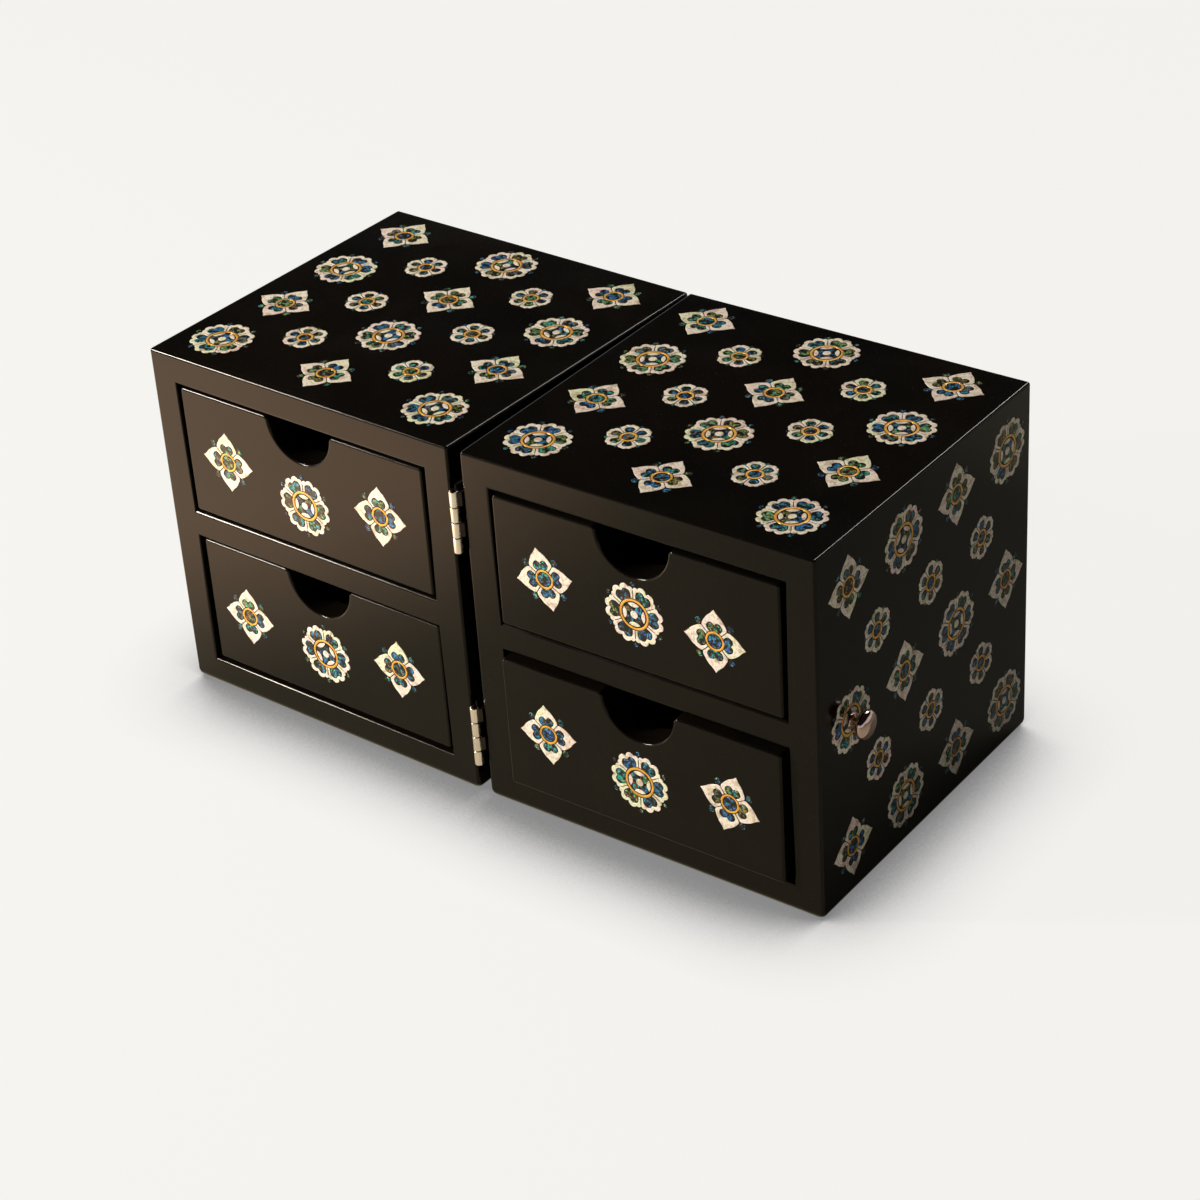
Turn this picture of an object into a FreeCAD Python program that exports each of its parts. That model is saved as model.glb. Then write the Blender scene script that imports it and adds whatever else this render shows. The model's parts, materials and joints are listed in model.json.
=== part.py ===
"""Folding two-drawer jewellery cabinets in black lacquer with shell inlay.

Two square cabinets stand side by side, joined by two small butt hinges at
their front edges, and fold face to face.  Each cabinet holds two lined
drawers with a half-round finger notch.

Frame: +Z up, the fronts face -Y, X runs to the right.  The origin is the
middle of the object's box, on the surface that it stands on.  Millimetres.

Each cabinet is drawn in its own frame, in which x runs outward from the
hinge axis, y runs back from the cabinet's front plane and z runs up.
"""
import FreeCAD
import Part
import math
import os

from FreeCAD import Rotation, Vector

# Cabinet case
cabinet_width = 119.4
cabinet_depth = 116.3
cabinet_height = 120.0
side_board = 9.8
top_board = 9.8
bottom_board = 10.2
back_board = 6.0
shelf_board = 9.5
shelf_underside = 56.0
edge_round = 2.2

# How the two cabinets stand to each other
front_gap = 4.6
back_gap = 0.75

# Drawers
drawer_front_thick = 9.0
drawer_board = 3.0
drawer_side_gap = 1.2
drawer_end_gap = 0.8
running_gap = 0.3
back_stop_gap = 0.3
home_recess = 1.2
box_below_front_top = 2.0
front_edge_round = 0.8
front_corner_round = 1.0
notch_radius = 12.4
notch_shoulder = 1.6
drawer_kept_in = 23.8
pulled_out_at_rest = {
    ("left", "upper"): 1.0,
    ("left", "lower"): 0.25,
    ("right", "upper"): 1.95,
    ("right", "lower"): 3.9,
}

# Lining of each drawer
lining_floor = 1.6
lining_wall = 1.2
lining_below_box_top = 1.5
lining_notch_margin = 1.5

# Butt hinges
hinge_below_top = 23.0
hinge_above_bottom = 22.4
hinge_length = 20.4
knuckle_count = 4
knuckle_gap = 0.2
knuckle_radius = 1.2
pin_radius = 0.6
pin_clearance = 0.05
pin_forward = 1.25
leaf_thick = 0.8
leaf_start = 1.6
leaf_reach = 12.0
leaf_knee = -0.1
leaf_screw_depth = 7.2
leaf_screw_shank = 0.9
leaf_screw_head = 1.7
leaf_screw_spread = 12.0
screw_slot_width = 0.45
screw_slot_depth = 0.35

# Knobs on the outer sides
knob_neck_radius = 1.9
knob_neck_length = 2.0
knob_foot_radius = 2.7
knob_head_radius = 4.5
knob_head_thick = 5.2
knob_rim_round = 1.8
knob_stud_radius = 1.4
knob_stud_in_board = 7.5
knob_stud_in_knob = 3.6

# Inlays: plates set in shallow pockets
inlay_thick = 0.5
inlay_proud = 0.1
rosette_radius = 10.0
square_flower_radius = 10.3
small_flower_radius = 7.0

# Lattice of the inlays on the top boards, in columns across and rows back.
# The margins are those of a centred lattice, and each cabinet's lies a
# little off the middle, by (right, back) as seen from the front.
top_columns = 3
top_rows = 4
top_margin_across = 16.7
top_margin_deep = 15.4
top_off_middle = {"left": (-1.3, 0.9), "right": (-1.1, 1.5)}

# Lattice on the outer sides, in columns back and rows up, off the middle by
# (back, up)
side_columns = 4
side_rows = 3
side_margin_deep = 14.95
side_margin_high = 16.7
side_off_middle = (1.35, 0.3)

# Lattice on the backs, in columns across and rows up
back_columns = 3
back_rows = 4
back_margin = 16.7

# Inlays of the drawer fronts, left to right as seen from the front: kind,
# how far right and up from its regular place, and turn in degrees.  The
# outer two are regularly at mid-height, this far in from the front's ends,
# and the middle one is halfway between the notch and the lower edge.
front_motif_margin = 17.7
front_inlays = {
    ("left", "upper"): [
        ("square_flower", -0.7, 0.1, 0.0),
        ("rosette", -0.7, 0.4, 0.0),
        ("square_flower", -0.7, 0.1, 0.0),
    ],
    ("left", "lower"): [
        ("square_flower", -1.5, -1.7, 0.0),
        ("rosette", -0.5, 1.6, 0.0),
        ("square_flower", -0.5, 0.5, 0.0),
    ],
    ("right", "upper"): [
        ("square_flower", -0.5, -1.3, 14.0),
        ("rosette", -0.3, 3.1, 0.0),
        ("square_flower", -4.1, -3.1, 0.0),
    ],
    ("right", "lower"): [
        ("square_flower", -2.1, 0.5, 6.0),
        ("rosette", -0.6, 1.5, 0.0),
        ("square_flower", -0.1, -0.5, -14.0),
    ],
}

sides = ("left", "right")
levels = ("upper", "lower")
half_gap = front_gap / 2
inner_x = half_gap
outer_x = half_gap + cabinet_width
opening_x0 = inner_x + side_board
opening_x1 = outer_x - side_board
bay_depth = cabinet_depth - back_board
bay = {
    "lower": (bottom_board, shelf_underside),
    "upper": (shelf_underside + shelf_board, cabinet_height - top_board),
}
drawer_length = bay_depth - home_recess - back_stop_gap
drawer_travel = drawer_length - drawer_kept_in
hinge_axis = Vector(0, -pin_forward, 0)
splay_deg = math.degrees(math.asin((front_gap - back_gap) / 2 / cabinet_depth))
hinge_heights = {
    "upper": cabinet_height - hinge_below_top,
    "lower": hinge_above_bottom,
}
knob_y = side_margin_deep + side_off_middle[0]
knob_z = cabinet_height / 2 + side_off_middle[1]


def box(x0, y0, z0, x1, y1, z1):
    """A block between two corners."""
    return Part.makeBox(x1 - x0, y1 - y0, z1 - z0, Vector(x0, y0, z0))


def edges_on(shape, wanted):
    """The edges whose middle point meets the test."""
    found = []
    for edge in shape.Edges:
        middle = edge.valueAt((edge.FirstParameter + edge.LastParameter) / 2)
        if wanted(middle):
            found.append(edge)
    return found


def near(a, b):
    """Whether two coordinates are the same place."""
    return abs(a - b) < 1e-6


def arc(a, b, c):
    """The arc from a to c through b."""
    return Part.Arc(a, b, c).toShape()


def line(a, b):
    """The straight edge from a to b."""
    return Part.LineSegment(a, b).toShape()


def polar(radius, degrees):
    """A point of the drawing plane from its radius and angle."""
    turn = math.radians(degrees)
    return Vector(radius * math.cos(turn), radius * math.sin(turn), 0)


def rosette_outline():
    """Six petals, each with two lobes, as twelve arcs."""
    petals = 6
    step = 360 / petals
    between_petals = 0.88 * rosette_radius
    mid_petal = 0.95 * rosette_radius
    edges = []
    for i in range(petals):
        axis = i * step
        lobes = (
            (between_petals, axis - step / 2, mid_petal, axis),
            (mid_petal, axis, between_petals, axis + step / 2),
        )
        for start_radius, start, end_radius, end in lobes:
            tip = polar(rosette_radius, (start + end) / 2)
            edges.append(arc(polar(start_radius, start), tip, polar(end_radius, end)))
    return Part.Wire(edges)


def small_flower_outline():
    """Six round petals as six arcs."""
    petals = 6
    step = 360 / petals
    valley = 0.84 * small_flower_radius
    edges = []
    for i in range(petals):
        axis = i * step
        start = polar(valley, axis - step / 2)
        end = polar(valley, axis + step / 2)
        edges.append(arc(start, polar(small_flower_radius, axis), end))
    return Part.Wire(edges)


def square_flower_outline():
    """Four pointed petals: each side swells, then draws in to the tip."""
    petals = 4
    step = 360 / petals
    size = square_flower_radius
    valley = 0.60 * size
    swell = (0.68 * size, 31.0)
    shoulder = (0.81 * size, 15.0)
    neck = (0.90 * size, 5.2)
    edges = []
    for i in range(petals):
        axis = i * step
        tip = polar(size, axis)
        low = polar(shoulder[0], axis - shoulder[1])
        high = polar(shoulder[0], axis + shoulder[1])
        edges.append(arc(polar(valley, axis - step / 2), polar(swell[0], axis - swell[1]), low))
        edges.append(arc(low, polar(neck[0], axis - neck[1]), tip))
        edges.append(arc(tip, polar(neck[0], axis + neck[1]), high))
        edges.append(arc(high, polar(swell[0], axis + swell[1]), polar(valley, axis + step / 2)))
    return Part.Wire(edges)


outlines = {
    "rosette": rosette_outline(),
    "square_flower": square_flower_outline(),
    "small_flower": small_flower_outline(),
}


def plate(kind, thick):
    """A motif's plate in the drawing plane, from z = 0 downward."""
    return Part.Face(outlines[kind]).extrude(Vector(0, 0, -thick))


def stand_on_face(shape, origin, right, up, turn_deg):
    """Move a shape from the drawing plane onto a face of the cabinet.

    right and up are the face's own directions, and its outward normal is
    their cross product.
    """
    placed = shape.copy()
    placed.rotate(Vector(0, 0, 0), Vector(0, 0, 1), turn_deg)
    out = right.cross(up)
    placed.Placement = FreeCAD.Placement(origin, Rotation(right, up, out)).multiply(
        placed.Placement
    )
    return placed


def inlay_set(motifs, origin, right, up):
    """The plates of one face and the pockets that take them.

    motifs holds (kind, across, up, turn) measured from the face's origin.
    """
    out = right.cross(up)
    plates = []
    pockets = []
    for kind, across, rise, turn in motifs:
        foot = origin + right * across + up * rise
        deep = inlay_thick - inlay_proud
        plates.append(stand_on_face(plate(kind, inlay_thick), foot + out * inlay_proud, right, up, turn))
        pockets.append(stand_on_face(plate(kind, deep), foot, right, up, turn))
    return Part.makeCompound(plates), Part.makeCompound(pockets)


def lattice(counts, size, margins, off_middle, start_with, turns):
    """Large flowers in turn on a grid, with a small one in each cell.

    counts, size, margins and off_middle are pairs, across and up the face,
    and turns gives the turn of the rosettes and of the small flowers.
    """
    order = ("rosette", "square_flower")
    if start_with == "square_flower":
        order = ("square_flower", "rosette")
    rosette_turn, small_turn = turns
    pitches = [(size[k] - 2 * margins[k]) / (counts[k] - 1) for k in range(2)]

    def place(i, j):
        across = margins[0] + off_middle[0] + i * pitches[0]
        return across, margins[1] + off_middle[1] + j * pitches[1]

    motifs = []
    for i in range(counts[0]):
        for j in range(counts[1]):
            kind = order[(i + j) % 2]
            turn = rosette_turn if kind == "rosette" else 0.0
            motifs.append((kind, *place(i, j), turn))
    for i in range(counts[0] - 1):
        for j in range(counts[1] - 1):
            motifs.append(("small_flower", *place(i + 0.5, j + 0.5), small_turn))
    return motifs


def top_motifs(side):
    """The top's motifs, across from the hinge axis and back from the front."""
    motifs = lattice(
        (top_columns, top_rows), (cabinet_width, cabinet_depth),
        (top_margin_across, top_margin_deep), top_off_middle[side], "rosette", (90.0, 0.0),
    )
    return [(kind, from_axis(side, x), y, turn) for kind, x, y, turn in motifs]


def side_motifs():
    """The outer side's motifs, back from the front plane and up."""
    return lattice(
        (side_columns, side_rows), (cabinet_depth, cabinet_height),
        (side_margin_deep, side_margin_high), side_off_middle, "square_flower", (0.0, 90.0),
    )


def back_motifs():
    """The back's motifs, across from the cabinet's outer side and up."""
    return lattice(
        (back_columns, back_rows), (cabinet_width, cabinet_height),
        (back_margin, back_margin), (0, 0), "rosette", (90.0, 0.0),
    )


def from_axis(side, x_from_left):
    """A distance from a cabinet's left edge, turned into one from the hinge axis."""
    return inner_x + x_from_left if side == "right" else outer_x - x_from_left


def front_motifs(side, level, front_low, front_high):
    """A drawer front's motifs, across from the hinge axis and up."""
    middle = cabinet_width / 2
    reach = middle - side_board - drawer_side_gap - front_motif_margin
    mid_height = (front_low + front_high) / 2
    under_notch = (front_low + front_high - notch_radius) / 2
    places = [(middle - reach, mid_height), (middle, under_notch), (middle + reach, mid_height)]
    motifs = []
    for (x, z), (kind, off_x, off_z, turn) in zip(places, front_inlays[(side, level)]):
        seen_turn = turn if side == "right" else -turn
        motifs.append((kind, from_axis(side, x + off_x), z + off_z, seen_turn))
    return motifs


def hinge_screw_places():
    """The height of each leaf screw, and their distance from the front."""
    depth = (leaf_start + leaf_reach) / 2
    heights = []
    for middle in hinge_heights.values():
        for way in (-0.5, 0.5):
            heights.append(middle + way * leaf_screw_spread)
    return depth, heights


def case_boards(side):
    """The six boards of a case, with pockets and screw holes cut."""
    top = box(inner_x, 0, cabinet_height - top_board, outer_x, cabinet_depth, cabinet_height)
    bottom = box(inner_x, 0, 0, outer_x, cabinet_depth, bottom_board)
    low = bottom_board
    high = cabinet_height - top_board
    inner = box(inner_x, 0, low, opening_x0, cabinet_depth, high)
    outer = box(opening_x1, 0, low, outer_x, cabinet_depth, high)
    back = box(opening_x0, bay_depth, low, opening_x1, cabinet_depth, high)
    shelf = box(
        opening_x0, 0, shelf_underside, opening_x1, bay_depth, shelf_underside + shelf_board
    )

    def rounded(board, faces_x, faces_z):
        """Round the upright corners on faces_x and the rims on faces_z."""
        def wanted(p):
            on_corner = any(near(p.x, x) for x in faces_x)
            on_corner = on_corner and (near(p.y, 0) or near(p.y, cabinet_depth))
            return on_corner or any(near(p.z, z) for z in faces_z)
        return board.makeFillet(edge_round, edges_on(board, wanted))

    top = rounded(top, (inner_x, outer_x), (cabinet_height,))
    bottom = rounded(bottom, (inner_x, outer_x), (0,))
    inner = rounded(inner, (inner_x,), ())
    outer = rounded(outer, (outer_x,), ())

    depth, heights = hinge_screw_places()
    for z in heights:
        inner = inner.cut(
            Part.makeCylinder(
                leaf_screw_shank, leaf_screw_depth, Vector(inner_x, depth, z), Vector(1, 0, 0)
            )
        )
    outer = outer.cut(knob_stud())

    x_axis = Vector(1, 0, 0)
    y_axis = Vector(0, 1, 0)
    z_axis = Vector(0, 0, 1)
    faces = {
        "top": (top_motifs(side), Vector(0, 0, cabinet_height), x_axis, y_axis),
        "side": (side_motifs(), Vector(outer_x, 0, 0), y_axis, z_axis),
        "back": (back_motifs(), Vector(outer_x, cabinet_depth, 0), -x_axis, z_axis),
    }
    inlays = {}
    pockets = {}
    for name, (motifs, origin, right, up) in faces.items():
        inlays[name], pockets[name] = inlay_set(motifs, origin, right, up)
    inlays["side"] = inlays["side"].cut(knob_stud())
    boards = {
        "top_panel": top,
        "bottom_panel": bottom,
        "inner_side_panel": inner,
        "outer_side_panel": outer,
        "back_panel": back,
        "drawer_shelf": shelf,
    }
    reached = {
        "top": ("top_panel",),
        "side": ("top_panel", "bottom_panel", "outer_side_panel"),
        "back": ("top_panel", "bottom_panel", "inner_side_panel", "outer_side_panel", "back_panel"),
    }
    for face, names in reached.items():
        for name in names:
            boards[name] = boards[name].cut(pockets[face])
    return boards, inlays


def knob_stud():
    """The threaded stud that holds a knob, driven into the outer side."""
    start = Vector(outer_x - knob_stud_in_board, knob_y, knob_z)
    length = knob_stud_in_board + inlay_proud + knob_stud_in_knob
    return Part.makeCylinder(knob_stud_radius, length, start, Vector(1, 0, 0))


def knob():
    """A turned knob: foot, neck and a flattened ball, with a hole for its stud.

    The ball's profile is a tight arc round the rim and a wide one over the
    crown and underneath, which meet without a crease.
    """
    foot_edge = 0.3
    foot_rise = 0.8
    neck = knob_neck_radius
    half = knob_head_thick / 2
    middle = knob_neck_length + half
    rim_centre = knob_head_radius - knob_rim_round
    wide = (rim_centre ** 2 + half ** 2 - knob_rim_round ** 2) / (2 * (half - knob_rim_round))
    join_angle = math.atan2(wide - half, rim_centre)
    join_radius = rim_centre + knob_rim_round * math.cos(join_angle)
    join_rise = knob_rim_round * math.sin(join_angle)

    def at(radius, rise):
        return Vector(radius, 0, rise)

    def rise_over(radius):
        return math.sqrt(wide ** 2 - radius ** 2) - (wide - half)

    below = (neck + join_radius) / 2
    above = join_radius / 2
    under_head = at(neck, middle - rise_over(neck))
    join_low = at(join_radius, middle - join_rise)
    join_high = at(join_radius, middle + join_rise)
    crown = at(0, middle + half)
    foot_curve = at((knob_foot_radius + 3 * neck) / 4, (foot_edge + foot_rise) / 2)
    edges = [
        line(at(0, 0), at(knob_foot_radius, 0)),
        line(at(knob_foot_radius, 0), at(knob_foot_radius, foot_edge)),
        arc(at(knob_foot_radius, foot_edge), foot_curve, at(neck, foot_rise)),
        line(at(neck, foot_rise), under_head),
        arc(under_head, at(below, middle - rise_over(below)), join_low),
        arc(join_low, at(knob_head_radius, middle), join_high),
        arc(join_high, at(above, middle + rise_over(above)), crown),
        line(crown, at(0, 0)),
    ]
    turned = Part.Face(Part.Wire(edges)).revolve(Vector(0, 0, 0), Vector(0, 0, 1), 360)
    turned = turned.cut(Part.makeCylinder(knob_stud_radius, knob_stud_in_knob))
    foot = Vector(outer_x + inlay_proud, knob_y, knob_z)
    return stand_on_face(turned, foot, Vector(0, 1, 0), Vector(0, 0, 1), 0.0)


def notch_profile(x_mid, z_top, radius, shoulder, above):
    """The notch's face in the front plane: a half circle that opens upward.

    The two shoulders are arcs that join the half circle to the top edge.
    """
    y = 0
    reach = math.sqrt((radius + shoulder) ** 2 - shoulder ** 2)
    centre = Vector(x_mid, y, z_top)
    lean = math.atan2(shoulder, reach)

    def on_bowl(angle):
        return centre + Vector(radius * math.cos(angle), 0, radius * math.sin(angle))

    def on_shoulder(way, angle):
        middle = centre + Vector(way * reach, 0, -shoulder)
        return middle + Vector(way * shoulder * math.cos(angle), 0, shoulder * math.sin(angle))

    left_join = on_bowl(math.pi + lean)
    right_join = on_bowl(-lean)
    half_turn = (math.pi / 2 + math.pi - lean) / 2
    edges = [
        arc(left_join, on_bowl(-math.pi / 2), right_join),
        arc(right_join, on_shoulder(1, half_turn), centre + Vector(reach, 0, 0)),
        line(centre + Vector(reach, 0, 0), centre + Vector(reach, 0, above)),
        line(centre + Vector(reach, 0, above), centre + Vector(-reach, 0, above)),
        line(centre + Vector(-reach, 0, above), centre + Vector(-reach, 0, 0)),
        arc(centre + Vector(-reach, 0, 0), on_shoulder(-1, half_turn), left_join),
    ]
    return Part.Face(Part.Wire(edges))


def drawer(side, level):
    """One drawer's boards, lining and inlays, as it stands in the photo."""
    floor_z, ceiling_z = bay[level]
    face_y = home_recess - pulled_out_at_rest[(side, level)]
    rear_y = face_y + drawer_length
    x0 = opening_x0 + drawer_side_gap
    x1 = opening_x1 - drawer_side_gap
    front_low = floor_z + drawer_end_gap
    front_high = ceiling_z - drawer_end_gap
    back_of_front = face_y + drawer_front_thick
    x_mid = (x0 + x1) / 2

    front = box(x0, face_y, front_low, x1, back_of_front, front_high)
    mid_thick = (face_y + back_of_front) / 2
    corners = edges_on(
        front, lambda p: (near(p.x, x0) or near(p.x, x1)) and near(p.y, mid_thick)
    )
    front = front.makeFillet(front_corner_round, corners)
    cutter = notch_profile(x_mid, front_high, notch_radius, notch_shoulder, drawer_end_gap)
    cutter = cutter.extrude(Vector(0, drawer_front_thick, 0))
    cutter.translate(Vector(0, face_y, 0))
    front = front.cut(cutter)
    rim = edges_on(front, lambda p: near(p.y, face_y))
    front = front.makeFillet(front_edge_round, rim)

    low = floor_z + running_gap
    high = front_high - box_below_front_top
    left_board = box(x0, back_of_front, low, x0 + drawer_board, rear_y, high)
    right_board = box(x1 - drawer_board, back_of_front, low, x1, rear_y, high)
    inside_x0 = x0 + drawer_board
    inside_x1 = x1 - drawer_board
    inside_low = max(low + drawer_board, front_low)
    bottom = box(inside_x0, back_of_front, low, inside_x1, rear_y, inside_low)
    rear = box(inside_x0, rear_y - drawer_board, inside_low, inside_x1, rear_y, high)

    lining_high = high - lining_below_box_top
    lining_rear = rear_y - drawer_board
    lining = box(inside_x0, back_of_front, inside_low, inside_x1, lining_rear, lining_high)
    hollow = box(
        inside_x0 + lining_wall, back_of_front + lining_wall, inside_low + lining_floor,
        inside_x1 - lining_wall, lining_rear - lining_wall, lining_high,
    )
    lining = lining.cut(hollow)
    lining_notch = notch_profile(
        x_mid, front_high, notch_radius + lining_notch_margin, notch_shoulder, drawer_end_gap
    )
    lining_notch = lining_notch.extrude(Vector(0, lining_wall, 0))
    lining_notch.translate(Vector(0, back_of_front, 0))
    lining = lining.cut(lining_notch)

    plates, pockets = inlay_set(
        front_motifs(side, level, front_low, front_high),
        Vector(0, face_y, 0), Vector(1, 0, 0), Vector(0, 0, 1),
    )
    front = front.cut(pockets)
    return {
        "drawer_front": front,
        "drawer_inner_board": left_board,
        "drawer_outer_board": right_board,
        "drawer_rear_board": rear,
        "drawer_bottom": bottom,
        "drawer_lining": lining,
        "drawer_inlay": plates,
    }


def knuckle_spans(owner):
    """The knuckles of one leaf as (low, high) heights from its middle."""
    pitch = hinge_length / knuckle_count
    spans = []
    for i in range(knuckle_count):
        belongs_to = "right" if i % 2 == 0 else "left"
        if belongs_to == owner:
            high = hinge_length / 2 - i * pitch
            low = high - pitch
            if i > 0:
                high -= knuckle_gap / 2
            if i < knuckle_count - 1:
                low += knuckle_gap / 2
            spans.append((low, high))
    return spans


def leaf_screw_shape(depth, z):
    """A countersunk screw driven outward into the inner side board."""
    face = inner_x - leaf_thick
    out = Vector(1, 0, 0)
    head = Part.makeCone(leaf_screw_head, leaf_screw_shank, leaf_thick, Vector(face, depth, z), out)
    shank = Part.makeCylinder(
        leaf_screw_shank, leaf_thick + leaf_screw_depth, Vector(face, depth, z), out
    )
    return head.fuse(shank).removeSplitter()


def strip(start, end, thick, low, high):
    """A flat strip of leaf between two points of the plan, on its edge."""
    run = end - start
    across = Vector(-run.y, run.x, 0).normalize() * (thick / 2)
    corners = [start - across, end - across, end + across, start + across]
    corners = [corner + Vector(0, 0, low) for corner in corners]
    return Part.Face(Part.makePolygon(corners + corners[:1])).extrude(Vector(0, 0, high - low))


def hinge_leaf(side, middle_z):
    """A leaf screwed to the inner side, with its share of the knuckles."""
    plate_low = middle_z - hinge_length / 2
    plate_high = middle_z + hinge_length / 2
    leaf = box(inner_x - leaf_thick, leaf_start, plate_low, inner_x, leaf_reach, plate_high)
    leaf_mid_x = inner_x - leaf_thick / 2
    root = Vector(leaf_mid_x, leaf_start, 0)
    knee = Vector(leaf_mid_x, leaf_knee, 0)
    for low, high in knuckle_spans(side):
        low += middle_z
        high += middle_z
        pieces = [
            Part.makeCylinder(knuckle_radius, high - low, hinge_axis + Vector(0, 0, low)),
            Part.makeCylinder(leaf_thick / 2, high - low, knee + Vector(0, 0, low)),
            strip(root, knee, leaf_thick, low, high),
            strip(knee, hinge_axis, leaf_thick, low, high),
        ]
        for piece in pieces:
            leaf = leaf.fuse(piece)
    clearance = pin_clearance if side == "right" else 0.0
    bore = Part.makeCylinder(
        pin_radius + clearance, hinge_length, hinge_axis + Vector(0, 0, plate_low)
    )
    leaf = leaf.cut(bore)
    depth, heights = hinge_screw_places()
    for z in heights:
        if plate_low < z < plate_high:
            leaf = leaf.cut(leaf_screw_shape(depth, z))
    return leaf.removeSplitter()


def hinge_screws():
    """The four screws that hold one cabinet's leaves, slotted heads inward."""
    depth, heights = hinge_screw_places()
    face = inner_x - leaf_thick
    screws = []
    for z in heights:
        slot = box(
            face, depth - leaf_screw_head, z - screw_slot_width / 2,
            face + screw_slot_depth, depth + leaf_screw_head, z + screw_slot_width / 2,
        )
        screws.append(leaf_screw_shape(depth, z).cut(slot))
    return Part.makeCompound(screws)


def hinge_pin(middle_z):
    """The pin that runs through all the knuckles of one hinge."""
    foot = hinge_axis + Vector(0, 0, middle_z - hinge_length / 2)
    return Part.makeCylinder(pin_radius, hinge_length, foot)


def to_row_frame(shape, side):
    """Turn a cabinet's own frame into the row's, before the last shift."""
    placed = shape.copy()
    turn = splay_deg
    if side == "left":
        placed = placed.mirror(Vector(0, 0, 0), Vector(1, 0, 0))
        turn = -splay_deg
    placed.rotate(hinge_axis, Vector(0, 0, 1), turn)
    return placed


def build():
    """Every node as a shape in the row's frame, with the hinge axis."""
    nodes = {}
    for side in sides:
        boards, inlays = case_boards(side)
        for name, shape in boards.items():
            nodes[f"{side}_{name}"] = to_row_frame(shape, side)
        for face, shape in inlays.items():
            nodes[f"{side}_{face}_inlay"] = to_row_frame(shape, side)
        for level in levels:
            for name, shape in drawer(side, level).items():
                nodes[f"{side}_{level}_{name}"] = to_row_frame(shape, side)
        for level, middle_z in hinge_heights.items():
            nodes[f"{level}_hinge_{side}_leaf"] = to_row_frame(hinge_leaf(side, middle_z), side)
        nodes[f"{side}_hinge_screws"] = to_row_frame(hinge_screws(), side)
        nodes[f"{side}_knob"] = to_row_frame(knob(), side)
        nodes[f"{side}_knob_stud"] = to_row_frame(knob_stud(), side)
    for level, middle_z in hinge_heights.items():
        nodes[f"{level}_hinge_pin"] = hinge_pin(middle_z)

    whole = Part.makeCompound(list(nodes.values())).optimalBoundingBox(False, False)
    shift = Vector(-(whole.XMin + whole.XMax) / 2, -(whole.YMin + whole.YMax) / 2, 0)
    for shape in nodes.values():
        shape.translate(shift)
    return nodes, hinge_axis + shift


def main():
    """Write one STEP file for each node and print what the record states."""
    os.makedirs("parts", exist_ok=True)
    nodes, axis = build()
    for name, shape in nodes.items():
        shape.exportStep(f"parts/{name}.step")
    print(f"{len(nodes)} nodes, {sum(len(s.Solids) for s in nodes.values())} solids")
    print(f"hinge axis at x {axis.x:.4f}, y {axis.y:.4f}, cabinets turned by {splay_deg:.4f} degrees")
    for (side, level), out in pulled_out_at_rest.items():
        print(f"{side} {level} drawer slides from {-out:.2f} to {drawer_travel - out:.2f}")


if __name__ == "__main__":
    main()
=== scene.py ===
"""A folding pair of black lacquer jewellery cabinets with shell inlay.

The cabinets' CAD model is the frame: every size and place that it holds is
read from it, and the pieces made here are its visible surfaces.  Lengths
are in metres.  Each cabinet is drawn in its own frame, in which x runs
outward from the hinge pin, y runs back and z runs up, and the left one is
the mirror of the right one.
"""

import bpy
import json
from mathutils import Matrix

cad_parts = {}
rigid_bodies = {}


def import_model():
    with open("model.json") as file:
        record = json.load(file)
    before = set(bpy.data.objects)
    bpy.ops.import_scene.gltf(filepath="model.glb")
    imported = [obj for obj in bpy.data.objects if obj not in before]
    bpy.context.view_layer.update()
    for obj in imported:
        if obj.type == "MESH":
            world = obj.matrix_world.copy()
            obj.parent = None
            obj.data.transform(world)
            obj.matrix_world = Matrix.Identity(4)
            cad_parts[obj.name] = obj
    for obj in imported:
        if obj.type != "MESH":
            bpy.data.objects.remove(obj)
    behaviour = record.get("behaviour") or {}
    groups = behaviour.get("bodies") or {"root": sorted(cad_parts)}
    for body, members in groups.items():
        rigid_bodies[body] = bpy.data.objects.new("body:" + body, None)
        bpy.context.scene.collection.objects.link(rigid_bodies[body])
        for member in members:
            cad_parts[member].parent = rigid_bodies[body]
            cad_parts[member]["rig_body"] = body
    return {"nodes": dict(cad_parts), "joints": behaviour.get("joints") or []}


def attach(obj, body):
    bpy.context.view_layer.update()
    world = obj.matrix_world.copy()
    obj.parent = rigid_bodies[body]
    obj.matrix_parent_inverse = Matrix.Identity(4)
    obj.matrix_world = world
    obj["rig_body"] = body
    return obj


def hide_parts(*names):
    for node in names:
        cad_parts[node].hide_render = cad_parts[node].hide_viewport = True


bl_info = {
    "name": "Folding Jewellery Cabinets",
    "version": (1, 0, 0),
    "blender": (4, 5, 0),
    "location": "3D View > Sidebar > Cabinets",
    "description": "Dresses a folding pair of lacquer jewellery cabinets with shell inlay",
    "category": "Object",
}

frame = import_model()

import json
import math
import random

import bmesh
import bpy
import numpy as np
from bpy.props import FloatProperty, FloatVectorProperty, PointerProperty
from mathutils import Matrix, Vector

MM = 0.001
SIDES = ("left", "right")
LEVELS = ("upper", "lower")
CASE_BOARDS = (
    "top_panel", "bottom_panel", "inner_side_panel", "outer_side_panel", "back_panel",
    "drawer_shelf",
)
DRAWER_BOARDS = ("inner_board", "outer_board", "rear_board", "bottom")

# A hinge's knuckles, and those of each leaf, counted from the top one down
KNUCKLES = 4
OWN_KNUCKLES = {"left": (1, 3), "right": (0, 2)}

# How many short runs make up a round edge, a round corner, a small arc, the
# bowl of a finger notch, that bowl in the lining, the lining's rolled edge and
# the sides of its pad
ROUND_STEPS = 4
CORNER_STEPS = 5
ARC_STEPS = 6
BOWL_STEPS = 40
LINING_STEPS = 36
ROLL_STEPS = 3
PAD_CELLS = 44

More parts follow.
